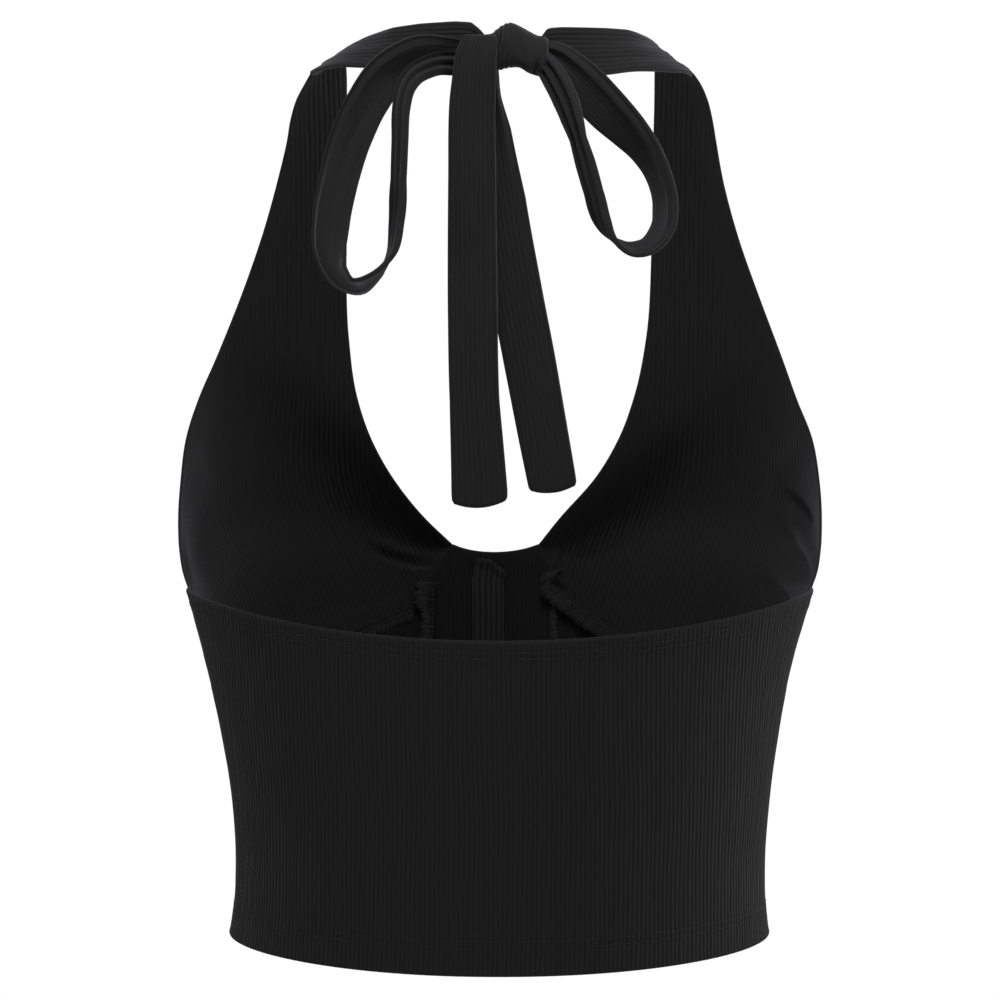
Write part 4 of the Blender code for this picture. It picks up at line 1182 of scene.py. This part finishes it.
base = KNOT_RINGS * KNOT_POINTS
faces = knot_faces(KNOT_RINGS, KNOT_POINTS, 0, True)
faces += knot_faces(HOLLOW_RINGS, HOLLOW_POINTS, base, False)
for end, inner_end, order in ((0, 0, 1), (KNOT_RINGS - 1, HOLLOW_RINGS - 1, -1)):
    for k in range(HOLLOW_POINTS):
        fan = [end * KNOT_POINTS + (STEPS * k + j) % KNOT_POINTS for j in range(STEPS + 1)]
        inner_edge = [base + inner_end * HOLLOW_POINTS + (k + j) % HOLLOW_POINTS for j in (1, 0)]
        faces.append(tuple((fan + inner_edge)[::order]))
chart = np.concatenate((chart.reshape(-1, 2), np.zeros((HOLLOW_RINGS * HOLLOW_POINTS, 2))))
points = np.concatenate((shell.reshape(-1, 3), hollow.reshape(-1, 3)))
knot = make_piece("bow_knot_wrap", points, faces, chart)
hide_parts("bow_knot")
print("bow_knot_wrap faces:", len(faces))

# %% [markdown]
# ## Sewing inside the front
#
# Seams of knit are overlocked: the two edges are trimmed together and wrapped in looped thread.
# The allowance stands off the cloth inside as a soft band four to nine millimetres wide, rounder
# than the knit because it is full of thread. It could be a raised texture on the panel, but it
# casts a shadow beside it and curls, so each band is its own piece of cloth with a thread tube
# wound over it.

# %% Thread as a tube
THREAD_SIDES = 5               # corners round a thread
NARROWED = 0.6                 # radius of a thread at its ends, as a share


def thread_tubes(name, paths, radius):
    """One piece made of tubes along several paths, each closed at its ends."""
    points, faces = [], []
    count = 0
    turns = 2 * math.pi * np.arange(THREAD_SIDES) / THREAD_SIDES
    for path in paths:
        path = np.asarray(path, dtype=float)
        along = unit(np.gradient(path, axis=0))
        aside = unit(np.cross(along, (0.31, 0.17, 0.93)) + 1e-6)
        up = np.cross(along, aside)
        ring = aside[:, None] * np.cos(turns)[:, None] + up[:, None] * np.sin(turns)[:, None]
        thin = np.full(len(path), radius)
        thin[[0, -1]] *= NARROWED
        points.append((path[:, None] + ring * thin[:, None, None]).reshape(-1, 3))
        for i in range(len(path) - 1):
            for k in range(THREAD_SIDES):
                n = (k + 1) % THREAD_SIDES
                here, there = count + i * THREAD_SIDES, count + (i + 1) * THREAD_SIDES
                faces.append((here + k, here + n, there + n, there + k))
        faces.append(tuple(count + k for k in range(THREAD_SIDES))[::-1])
        faces.append(tuple(count + (len(path) - 1) * THREAD_SIDES + k for k in range(THREAD_SIDES)))
        count += len(path) * THREAD_SIDES
    points = np.concatenate(points)
    piece = make_piece(name, points, faces, np.zeros((len(points), 2)))
    print(name, "threads:", len(paths), "faces:", len(faces))
    return piece

# %% Overlocked seam allowance
THREAD = 0.36                  # radius of a thread, with its fuzz
LOOP_PITCH = 1.0               # one loop of overlocking
# A loop goes out over the band and back: share of the width, part of the pitch, height.
LOOP = ((0.04, 0.0, 0.10), (0.55, 0.20, 0.24), (0.92, 0.40, 0.14), (1.02, 0.50, -0.40),
        (0.94, 0.62, 0.10), (0.55, 0.80, 0.20))
CHAINS = (0.08, 0.42, 0.70)    # where the straight rows of stitches lie, in widths
CHAIN_PITCH = 2.2
CHAIN = ((0.1, -0.1), (0.6, 0.22), (1.4, 0.22), (1.9, -0.1))   # one stitch: distance, height


def resample(table, spacing):
    """Rows of a table at an even spacing along its first three columns, and their distances."""
    arc = distances(table[:, :3])
    at = np.arange(0, arc[-1], spacing)
    return np.stack([np.interp(at, arc, table[:, k]) for k in range(table.shape[1])], axis=-1), at


# Columns of a band's rows: a point of the seam, two directions, its width, its place along it.
SEAM, SPREAD, INWARD, WIDTH, LEVEL = slice(0, 3), slice(3, 6), slice(6, 9), 9, 10
BAND_ROW = 1.1                 # distance from one row of a band's mesh to the next
BAND_POINTS = 25               # points across it
BAND_CLOTH = 0.62              # thickness of the cloth in it, as a share of how fat it is
ARCH = 0.55                    # how much rounder it is than a flat band


def allowance(word, seam, spread, inward, width, rise, curl, fat, start=-0.28):
    """Band of cloth along a seam, wound with thread, from start (in widths) to its free edge.
    Spread points along the panel to the free edge, inward into the body."""
    width = np.broadcast_to(width, len(seam))[:, None]
    rows, at = resample(np.concatenate((seam, unit(spread), unit(inward), width), axis=1), BAND_ROW)
    rows = np.concatenate((rows, at[:, None]), axis=1)

    def surface(row, share, lift):
        """Point over the band: share across it, lift above its middle."""
        beyond, level = np.clip(share, 0, 1), row[..., LEVEL]
        arch = rise + fat / 2 + ARCH * np.sin(math.pi * np.clip((share - start) / (1 - start), 0, 1))
        ripple = 0.30 * np.sin(level * 0.9) + 0.22 * np.sin(level * 0.37 + 1)
        height = arch + curl * beyond ** 2 + ripple * beyond + lift
        out = share * row[..., WIDTH] * (1 + 0.06 * np.sin(level * 1.3))
        return row[..., SEAM] + row[..., SPREAD] * out[..., None] + row[..., INWARD] * height[..., None]

    shares = np.broadcast_to(np.linspace(start, 1, BAND_POINTS), (len(rows), BAND_POINTS))
    grid = surface(rows[:, None, :], shares, 0.0)
    facing = np.sum(grid_normals(grid) * rows[:, None, INWARD])
    band = ribbed_wall("allowance_" + word, grid, rib_places(grid), fat * BAND_CLOTH, flip=facing < 0)

    def over_band(place, share, lift):
        """Point of a thread at a distance along the band."""
        row = np.array([np.interp(place, at, rows[:, k]) for k in range(rows.shape[1])])
        return surface(row, np.array(share), fat * BAND_CLOTH / 2 + lift)

    wound = []
    for k in range(int(at[-1] / LOOP_PITCH) - 1):
        for share, part, lift in LOOP:
            place = (k + part + 0.20 * math.sin(k * 2.3)) * LOOP_PITCH
            wide = share * (1 + 0.05 * math.sin(k * 1.7))
            wound.append(over_band(place, wide, lift + 0.12 * math.sin(k * 3.1 + 5 * share)))
    threads = [wound]
    for share in CHAINS:
        for place in np.arange(0.3, at[-1] - 3, CHAIN_PITCH):
            threads.append([over_band(place + part, share, lift) for part, lift in CHAIN])
    return band, thread_tubes("overlock_thread_" + word, threads, THREAD)


print("100 mm of a band have", round(100 / BAND_ROW), "rows and", round(100 / LOOP_PITCH), "loops of thread")

# %% Allowances of the seams
def inside_of_seam(side, heights):
    """Inner side of the centre seam: points, directions away from the centre, directions in."""
    seam = centre_seam(side, heights)
    inside = inner_front_normal(seam)
    aside = unit(np.cross(inside, np.gradient(seam, axis=0)))
    return seam + inside * 0.75, aside * np.sign(aside[:, :1]) * side, inside


def inside_of_bust(side, share):
    """Inner side of the under-bust seam: points, directions down the front, directions in."""
    seam = midriff_point(side, share, cup_seam_height(share, side))
    inside = unit(seam * (-1, -1, 0))
    down = unit(np.cross(inside, np.gradient(seam, axis=0)))
    return seam + inside * 0.6, down * -np.sign(down[:, 2:3]), inside


bands = {}
seam, aside, inside = inside_of_seam(1, np.linspace(-252.5, -386.0, 100))
widths = 5.2 + 3.6 * (1 - soft_step(10, 15, np.linspace(0, 133.5, 100)))
bands["centre_left"] = allowance("centre_left", seam - aside * 2.8, aside, inside, widths,
                                 rise=1.0, curl=0.6, start=0.0, fat=2.3)
seam, aside, inside = inside_of_seam(-1, np.linspace(-264.0, -386.0, 90))
bands["centre_right"] = allowance("centre_right", seam - aside * 1.5, aside, inside, 3.6,
                                  rise=0.0, curl=0.0, start=0.0, fat=1.0)
seam, down, inside = inside_of_bust(1, np.linspace(0.05, 0.97, 120))
bands["bust_left"] = allowance("bust_left", seam, down, inside, 4.6, rise=0.2, curl=0.1, fat=1.2)

# The right under-bust band starts with a curled head of a few millimetres on the centre panel.
head, head_aside, head_inside = inside_of_seam(-1, np.linspace(-248.6, -252.6, 9))
seam, down, inside = inside_of_bust(-1, np.linspace(0.012, 0.97, 120))
blend = np.linspace(0, 1, 9)[:, None]
spread = unit(-head_aside * (1 - blend) + down[0] * blend)
head = head + head_aside * 7.0 * (1 - blend)
widths = np.concatenate((np.linspace(8.2, 6.6, 9), np.full(120, 6.2)))
seam, spread, inside = [np.concatenate(parts) for parts in
                        ((head, seam), (spread, down), (head_inside, inside))]
bands["bust_right"] = allowance("bust_right", seam, spread, inside, widths,
                                rise=2.4, curl=0.6, start=0.0, fat=3.4)
for side, word in ((1, "side_left"), (-1, "side_right")):
    heights = np.linspace(UNDERARM_HEIGHT - 4, HEM_HEIGHT + 4, 90)
    seam = oval(np.full(90, side * math.pi / 2), heights, "back_depth") - (side * 0.8, 0, 0)
    forward = np.broadcast_to((0.0, -1.0, 0.0), seam.shape)
    inside = np.broadcast_to((-side, 0.0, 0.0), seam.shape)
    bands[word] = allowance(word, seam, forward, inside, 5.4, rise=0.3, curl=0.3, fat=1.6)

# %% [markdown]
# ## Stitching of the turned edges
#
# The hem and the top edge of the back are turned and stitched with two needles, so two rows of
# short dashes run side by side. Over ribs the stitches are never quite even: some lie on a rib
# and stand out, some sink into a groove. Each dash is a short thread with both ends in the cloth.

# %% Two-needle stitching
STITCH = 2.7                   # length of one stitch with its gap
STITCH_RADIUS = 0.16
EDGE_LIFT = (KNIT + TURNED) / 2 + 0.03        # from the middle of a turned edge to its stitches


def line_on(grid, distance, from_top=False):
    """Line over a panel at a distance from its hem or its top edge, with the outward directions."""
    both = np.concatenate((grid, outward_normals(grid)), axis=2)
    both = both[::-1] if from_top else both
    arc = distances(both[..., :3])
    return np.array([[np.interp(distance, arc[:, i], both[:, i, k]) for k in range(both.shape[2])]
                     for i in range(grid.shape[1])])


def dashes(line, phase):
    """Short threads along a line, with uneven lengths and heights."""
    fine, at = resample(line, 0.25)
    threads = []
    for k in range(len(resample(line, STITCH)[1]) - 1):
        uneven = math.sin(k * 1.7 + phase) + 0.6 * math.sin(k * 0.61 + 2 * phase)
        start = (k + 0.5 + 0.10 * math.sin(k * 2.9 + phase)) * STITCH
        length = STITCH * (0.66 + 0.08 * uneven)
        steps = start + length * np.array((0.0, 0.25, 0.75, 1.0))
        rises = EDGE_LIFT + np.array((-0.25, 0.06, 0.06, -0.25)) + 0.10 * uneven
        if steps[-1] < at[-1]:
            rows = np.stack([np.interp(steps, at, values) for values in fine.T], axis=-1)
            threads.append(rows[:, :3] + unit(rows[:, 3:]) * rises[:, None])
    return threads


stitched = {"back_panel_knit": (back, True), "centre_front_knit": (centre, False),
            "midriff_knit_left": (midriffs[1], False), "midriff_knit_right": (midriffs[-1], False)}
LOOSE_ACROSS = -107.5          # a loose end of thread lies here
LOOSE_DISTANCE = 7.4           # and so far from the top edge
stitches = {}
for number, (name, (grid, has_edge)) in enumerate(stitched.items()):
    threads = []
    for row, distance in enumerate(HEM_ROWS):
        threads += dashes(line_on(grid, distance), number + 1.3 * row)
    if has_edge:
        for row, distance in enumerate(EDGE_ROWS):
            threads += dashes(line_on(grid, distance, from_top=True), 3 + row)
        edge = resample(line_on(grid, LOOSE_DISTANCE, from_top=True), 0.8)[0]
        first = int(np.argmin(np.abs(edge[:, 0] - LOOSE_ACROSS)))
        loose = edge[first:first + 8]
        threads.append(loose[:, :3] + loose[:, 3:] * (EDGE_LIFT + 0.4))
    stitches[name] = thread_tubes("stitch_thread_" + name, threads, STITCH_RADIUS)

# %% [markdown]
# ## The finish: black cotton rib knit
#
# The cloth is dyed black, but it isn't one flat colour: short fibres stand up from the ridges and
# catch light at a grazing angle through the sheen, and the colour carries painted shade and light
# as well: the grooves are painted darker and the crowns of the ribs lighter, although the ribs are
# modelled. Beside that the material only adds what is smaller: the courses of stitches across each
# rib, each with a little painted highlight, and fine fuzz. It is written as sums of values, through
# one small class, so the recipe reads like arithmetic.

# %% A value that can be added and multiplied
class Shade:
    """One value of a finish. Sums, products and powers of it add the nodes that they need."""

    def __init__(self, tree, socket=None):
        self.tree = tree
        self.socket = socket

    def node(self, kind, settings=None, values=None, output=0):
        """Add any node: first its settings, then the values or links of its sockets."""
        made = self.tree.nodes.new(kind)
        for name, setting in (settings or {}).items():
            setattr(made, name, setting)
        for name, value in (values or {}).items():
            if isinstance(value, Shade):
                self.tree.links.new(value.socket, made.inputs[name])
            else:
                made.inputs[name].default_value = value
        return Shade(self.tree, made.outputs[output])

    def math(self, operation, *others):
        """One Math node: this value first, then the others."""
        return self.node("ShaderNodeMath", {"operation": operation}, dict(enumerate((self,) + others)))

    def within_one(self):
        """The same value, held between 0 and 1."""
        return self.math("MAXIMUM", 0.0).math("MINIMUM", 1.0)

    def __add__(self, other):
        return self.math("ADD", other)

    def __mul__(self, other):
        return self.math("MULTIPLY", other)

    def __sub__(self, other):
        return self.math("SUBTRACT", other)

    def __rsub__(self, other):
        return (self * -1.0) + other

    def __pow__(self, other):
        return self.math("POWER", other)

    __radd__ = __add__
    __rmul__ = __mul__


print("a Shade knows", ", ".join(name.strip("_") for name, made in vars(Shade).items() if callable(made)))

# %% Rib knit finish
COURSE = 0.85                  # height of one course of stitches
FUZZ = {"Scale": 2300.0, "Detail": 3.0}      # single fibres
WEAR = {"Scale": 42.0, "Detail": 4.0}        # slow clouds of more and less fuzz
MIX_FACTOR, MIX_DARK, MIX_LIGHT, MIX_RESULT = 0, 6, 7, 2     # sockets of a Mix node for colours
OBJECT_PLACE = 3               # the output of Texture Coordinate that moves with the object
PAINTED_LIGHT_START, PAINTED_LIGHT_LENGTH = 30.0, 100.0        # where painted light along the cloth begins, and over how much it grows


def new_finish(name):
    """A new material, its shader, and a Shade to start its nodes from."""
    material = bpy.data.materials.new(name)
    material.use_nodes = True
    tree = material.node_tree
    return material, tree.nodes["Principled BSDF"], Shade(tree)


def feed(shader, sockets):
    """Link values to sockets of a shader."""
    for name, value in sockets.items():
        value.tree.links.new(value.socket, shader.inputs[name])


def set_sockets(shader, sockets):
    """Give sockets of a shader a value that is the same all over the surface."""
    for name, value in sockets.items():
        shader.inputs[name].default_value = value


def rib_knit(name, groove, ridge, sheen, painted_light_weight):
    """Black rib knit: grooves darkened with painted shade, ridges lightened with painted light and fuzz,
    courses of stitches as a fine bump. The last argument is how much painted light it gets towards the far
    end."""
    material, shader, start = new_finish(name)
    place = start.node("ShaderNodeUVMap", {"uv_map": "knit"})
    ribs = start.node("ShaderNodeSeparateXYZ", None, {"Vector": place})
    up = Shade(ribs.tree, ribs.socket.node.outputs["Y"])
    solid = start.node("ShaderNodeTexCoord", output=OBJECT_PLACE)
    fuzz = start.node("ShaderNodeTexNoise", None, {"Vector": solid, **FUZZ})
    cloudy = start.node("ShaderNodeTexNoise", None, {"Vector": solid, **WEAR})
    wale = ribs.math("FRACT")
    lean = (wale - 0.5).math("ABSOLUTE")
    rib_crown_painted_light = 1 - lean * 2.0
    stitch = (up * (1 / COURSE) + lean * 1.6).math("FRACT")
    loop = 1 - ((stitch - 0.5).math("ABSOLUTE") * 2.0) ** 2.0
    height = loop * 0.5 + fuzz * 0.9
    bump = start.node("ShaderNodeBump", None, {"Strength": 0.6, "Distance": 0.00022, "Height": height})
    # Painted shade and light on the ribs: the grooves get the darker colour, the crowns of the ribs the
    # lighter one, and each stitch loop a little painted highlight; fuzz and slow clouds vary the tone at
    # random.
    painted_light_and_tone = rib_crown_painted_light * (0.55 + fuzz * 0.5 + cloudy * 0.5 - 0.25) + loop * 0.12 + fuzz * 0.10 - 0.05
    # Painted light along the cloth: past a start the colour grows lighter towards the far end, which on the
    # cups is the straps.
    painted_light_along = (up * (1 / PAINTED_LIGHT_LENGTH) - PAINTED_LIGHT_START / PAINTED_LIGHT_LENGTH).within_one()
    painted_light_and_tone = (painted_light_and_tone + painted_light_along * painted_light_weight).within_one()
    colour = start.node("ShaderNodeMix", {"data_type": "RGBA"},
                        {MIX_FACTOR: painted_light_and_tone, MIX_DARK: groove, MIX_LIGHT: ridge}, output=MIX_RESULT)
    rough = cloudy * 0.12 + 0.78
    feed(shader, {"Base Color": colour, "Normal": bump, "Roughness": rough})
    set_sockets(shader, {"Specular IOR Level": 0.10, "Sheen Weight": sheen, "Sheen Roughness": 0.35,
                         "Sheen Tint": (0.86, 0.87, 0.94, 1.0)})
    print(name, "nodes:", len(material.node_tree.nodes))
    return material

# %% Sewing thread
PLY = {"Scale": 1500.0, "Detail": 2.0}
THREAD_BLUE = 1.06             # the black of the thread leans to blue by this much


def sewing_thread(name, dark, light):
    """Black thread: a little smoother than the knit, so it catches more light."""
    material, shader, start = new_finish(name)
    solid = start.node("ShaderNodeTexCoord", output=OBJECT_PLACE)
    ply = start.node("ShaderNodeTexNoise", None, {"Vector": solid, **PLY})
    blacks = [(grey, grey, grey * THREAD_BLUE, 1.0) for grey in (dark, light)]
    colour = start.node("ShaderNodeMix", {"data_type": "RGBA"},
                        {MIX_FACTOR: ply, MIX_DARK: blacks[0], MIX_LIGHT: blacks[1]}, output=MIX_RESULT)
    bump = start.node("ShaderNodeBump", None, {"Strength": 0.5, "Distance": 0.0001, "Height": ply})
    feed(shader, {"Base Color": colour, "Normal": bump})
    set_sockets(shader, {"Roughness": 0.65, "Specular IOR Level": 0.15, "Sheen Weight": 0.05})
    print(name, "nodes:", len(material.node_tree.nodes))
    return material

# %% [markdown]
# ### One dye, lit and shaded copies of it
#
# All of the cloth was dyed together, but its pieces get lighter or darker copies of one black, for
# the grooves and for the ridges: the cups, the neck ties, the tails, the bow and the inner strip
# are painted lighter than the body, painted light that stands in for light the lamps don't give
# them, and the cups also grow lighter towards the straps. It could be six recipes. One recipe with
# a table is shorter, and its pieces still look like one cloth.

# %% Finishes of the pieces
KNIT_COLUMNS = ("name", "groove", "ridge", "sheen", "painted_light_weight")
# Lit and shaded copies of one black: every row but the body's is painted light, and the last column is
# painted light that grows along the cloth.
KNITS = (
    ("black_rib_knit", (0.0040, 0.0040, 0.0043), (0.0080, 0.0079, 0.0085), 0.10, 0.0),
    ("black_rib_knit_cups", (0.0042, 0.0042, 0.0045), (0.0094, 0.0093, 0.0100), 0.10, 0.5),
    ("black_rib_knit_ties", (0.0062, 0.0062, 0.0067), (0.0112, 0.0111, 0.0119), 0.12, 0.0),
    ("black_rib_knit_tails", (0.0048, 0.0048, 0.0052), (0.0082, 0.0081, 0.0087), 0.12, 0.0),
    ("black_rib_knit_pulled_tight", (0.0074, 0.0073, 0.0079), (0.0094, 0.0093, 0.0100), 0.12, 0.0),
    ("black_rib_knit_strip", (0.0050, 0.0050, 0.0053), (0.0200, 0.0199, 0.0208), 0.12, 0.0),
)
# The first word that a piece's name holds says its finish. A piece with none of them is body knit.
FINISH_OF = (
    ("overlock_thread", "black_thread_overlocked"), ("stitch_thread", "black_thread_stitched"),
    ("cup", "black_rib_knit_cups"), ("strip", "black_rib_knit_strip"),
    ("bow_loop", "black_rib_knit_pulled_tight"), ("bow_knot", "black_rib_knit_pulled_tight"),
    ("tail", "black_rib_knit_tails"), ("tie", "black_rib_knit_ties"), ("bow", "black_rib_knit_ties"),
)
THREADS = (("black_thread_overlocked", 0.0065, 0.0170), ("black_thread_stitched", 0.0040, 0.0070))
finishes = {}
for row in KNITS:
    named = dict(zip(KNIT_COLUMNS, row))
    finishes[named["name"]] = rib_knit(named["name"], named["groove"] + (1.0,), named["ridge"] + (1.0,),
                                       named["sheen"], named["painted_light_weight"])
for name, dark, light in THREADS:
    finishes[name] = sewing_thread(name, dark, light)
for piece in list(bpy.context.scene.objects):
    if piece.type != "MESH":
        continue
    finish = finishes[next((name for word, name in FINISH_OF if word in piece.name), "black_rib_knit")]
    if piece.name in frame["nodes"]:
        for slot in piece.material_slots:
            slot.material = finish
    else:
        piece.data.materials.append(finish)
print("finishes:", [material.name for material in bpy.data.materials])

# %% [markdown]
# ## Floor, light and camera
#
# The top hangs in a white studio. A black cloth shows its form only by what it reflects, so the
# light matters as much as the cloth. The wall on the far side of the top is white, the side
# where the camera stands is half as bright, and little light comes from above. A soft lamp
# overhead lights the tops of folds and the inside of the front, a small one hangs over the bow,
# and the others stand well out to the sides, so that the light grazes the flanks and the middle
# of the back stays dark. The floor is plain and pale.

# %% Floor
FLOOR_HEIGHT = -1.4            # in metres
FLOOR_RADIUS = 1.9
FLOOR_SIDES = 96
turns = [2 * math.pi * step / FLOOR_SIDES for step in range(FLOOR_SIDES)]
floor_mesh = bpy.data.meshes.new("pale_floor")
floor_mesh.from_pydata([(FLOOR_RADIUS * math.cos(turn), FLOOR_RADIUS * math.sin(turn), FLOOR_HEIGHT)
                        for turn in turns], [], [tuple(range(FLOOR_SIDES))])
floor = new_object("pale_floor", floor_mesh)
floor_finish, floor_shader = new_finish("pale_floor")[:2]
set_sockets(floor_shader, {"Base Color": (0.93, 0.93, 0.93, 1.0), "Roughness": 0.9})
floor_mesh.materials.append(floor_finish)

# %% White studio round the top
WALL = 1.02                    # brightness of the far wall
DARKER_ABOVE = 0.72            # share of it that is missing overhead
DARKER_NEAR = 0.54             # and on the side where the camera stands
world = bpy.data.worlds.new("studio")
world.use_nodes = True
studio = Shade(world.node_tree)
direction = studio.node("ShaderNodeTexCoord")
parts = studio.node("ShaderNodeSeparateXYZ", None, {"Vector": direction})
rise = Shade(world.node_tree, parts.socket.node.outputs["Z"])
above = (rise * 4.0 - 0.7).within_one()
depth = Shade(world.node_tree, parts.socket.node.outputs["Y"])
near = (depth * 3.0 + 1.0).within_one()
strength = (WALL - above * DARKER_ABOVE) * (1 - near * DARKER_NEAR)
background = world.node_tree.nodes["Background"]
set_sockets(background, {"Color": (1.0, 1.0, 1.0, 1.0)})
feed(background, {"Strength": strength})
bpy.context.scene.world = world
bpy.context.scene.view_settings.view_transform = "Standard"
print("nodes of the studio:", len(world.node_tree.nodes))

# %% Lamps
LAMP_COLUMNS = ("name", "place", "aim", "size", "watts")       # places and sizes in metres
LAMPS = (
    ("overhead", (0.10, 0.50, 0.85), (0.0, 0.03, 0.0), 0.5, 10.0),
    ("over_bow", (-0.12, 0.50, 0.40), (0.0, 0.07, -0.02), 0.3, 2.6),
    ("from_left", (1.95, 0.85, -0.37), (0.0, 0.0, -0.22), 0.7, 16.5),
    ("from_right", (-1.85, 1.30, -0.40), (0.0, 0.0, -0.25), 0.6, 19.0),
    ("behind_right", (-2.00, -0.35, -0.25), (0.0, 0.0, -0.25), 0.7, 24.0),
)
for row in LAMPS:
    named = dict(zip(LAMP_COLUMNS, row))
    lamp = bpy.data.lights.new(named["name"], "AREA")
    lamp.shape = "DISK"
    lamp.size = named["size"]
    lamp.energy = named["watts"]
    stand = new_object(named["name"], lamp)
    stand.location = named["place"]
    aim = Vector(named["aim"]) - Vector(named["place"])
    stand.rotation_euler = aim.to_track_quat("-Z", "Y").to_euler()
    print("lamp", named["name"], round(aim.length, 2), "m from what it lights")

# %% Camera
AIM = Vector((0.0, 0.0, -0.204))
DISTANCE = 2.2
ELEVATION = math.radians(5.2)
lens = bpy.data.cameras.new("camera")
lens.sensor_width = 36
lens.lens = 176                # a long lens, so that near and far parts keep their sizes
lens.clip_start = 0.05
lens.clip_end = 100
camera = new_object("camera", lens)
camera.location = AIM + DISTANCE * Vector((0, math.cos(ELEVATION), math.sin(ELEVATION)))
camera.rotation_euler = (AIM - camera.location).to_track_quat("-Z", "Y").to_euler()
bpy.context.scene.camera = camera
print("camera at", [round(value, 3) for value in camera.location], "with a lens of", lens.lens, "mm")

# %% [markdown]
# ## What each piece was cut from
#
# Each panel of the body has a row with the size that it was cut to, in metres. Only what shows is
# counted, without the seam allowances, which are pieces of their own and belong to the panel that
# they are sewn to.

# %% Cut sizes
SHEET_COLUMNS = ("piece", "width", "length", "area", "rests_on")
SHEETS = (
    ("back_panel_knit", 0.362, 0.160, 0.0500, ("midriff_knit_left", "midriff_knit_right")),
    ("centre_front_knit", 0.078, 0.168, 0.0108, ("midriff_knit_left", "midriff_knit_right")),
    ("midriff_knit_left", 0.156, 0.150, 0.0163, ("centre_front_knit", "cup_knit_left")),
    ("midriff_knit_right", 0.156, 0.150, 0.0170, ("centre_front_knit", "cup_knit_right")),
    ("cup_knit_left", 0.185, 0.285, 0.0270, ("neck_tie_knit_left",)),
    ("cup_knit_right", 0.185, 0.285, 0.0275, ("neck_tie_knit_right",)),
)
with_band = {"centre_front_knit": ("centre_left", "centre_right"),
             "midriff_knit_left": ("bust_left", "side_left"),
             "midriff_knit_right": ("bust_right", "side_right")}
for row in SHEETS:
    named = dict(zip(SHEET_COLUMNS, row))
    sewn = [piece for word in with_band.get(named["piece"], ()) for piece in bands[word]]
    if named["piece"] in stitches:
        sewn.append(stitches[named["piece"]])
    print(named["piece"], "is sewn to", len(sewn), "more pieces")

# The dressed top has to stay as large as its frame.
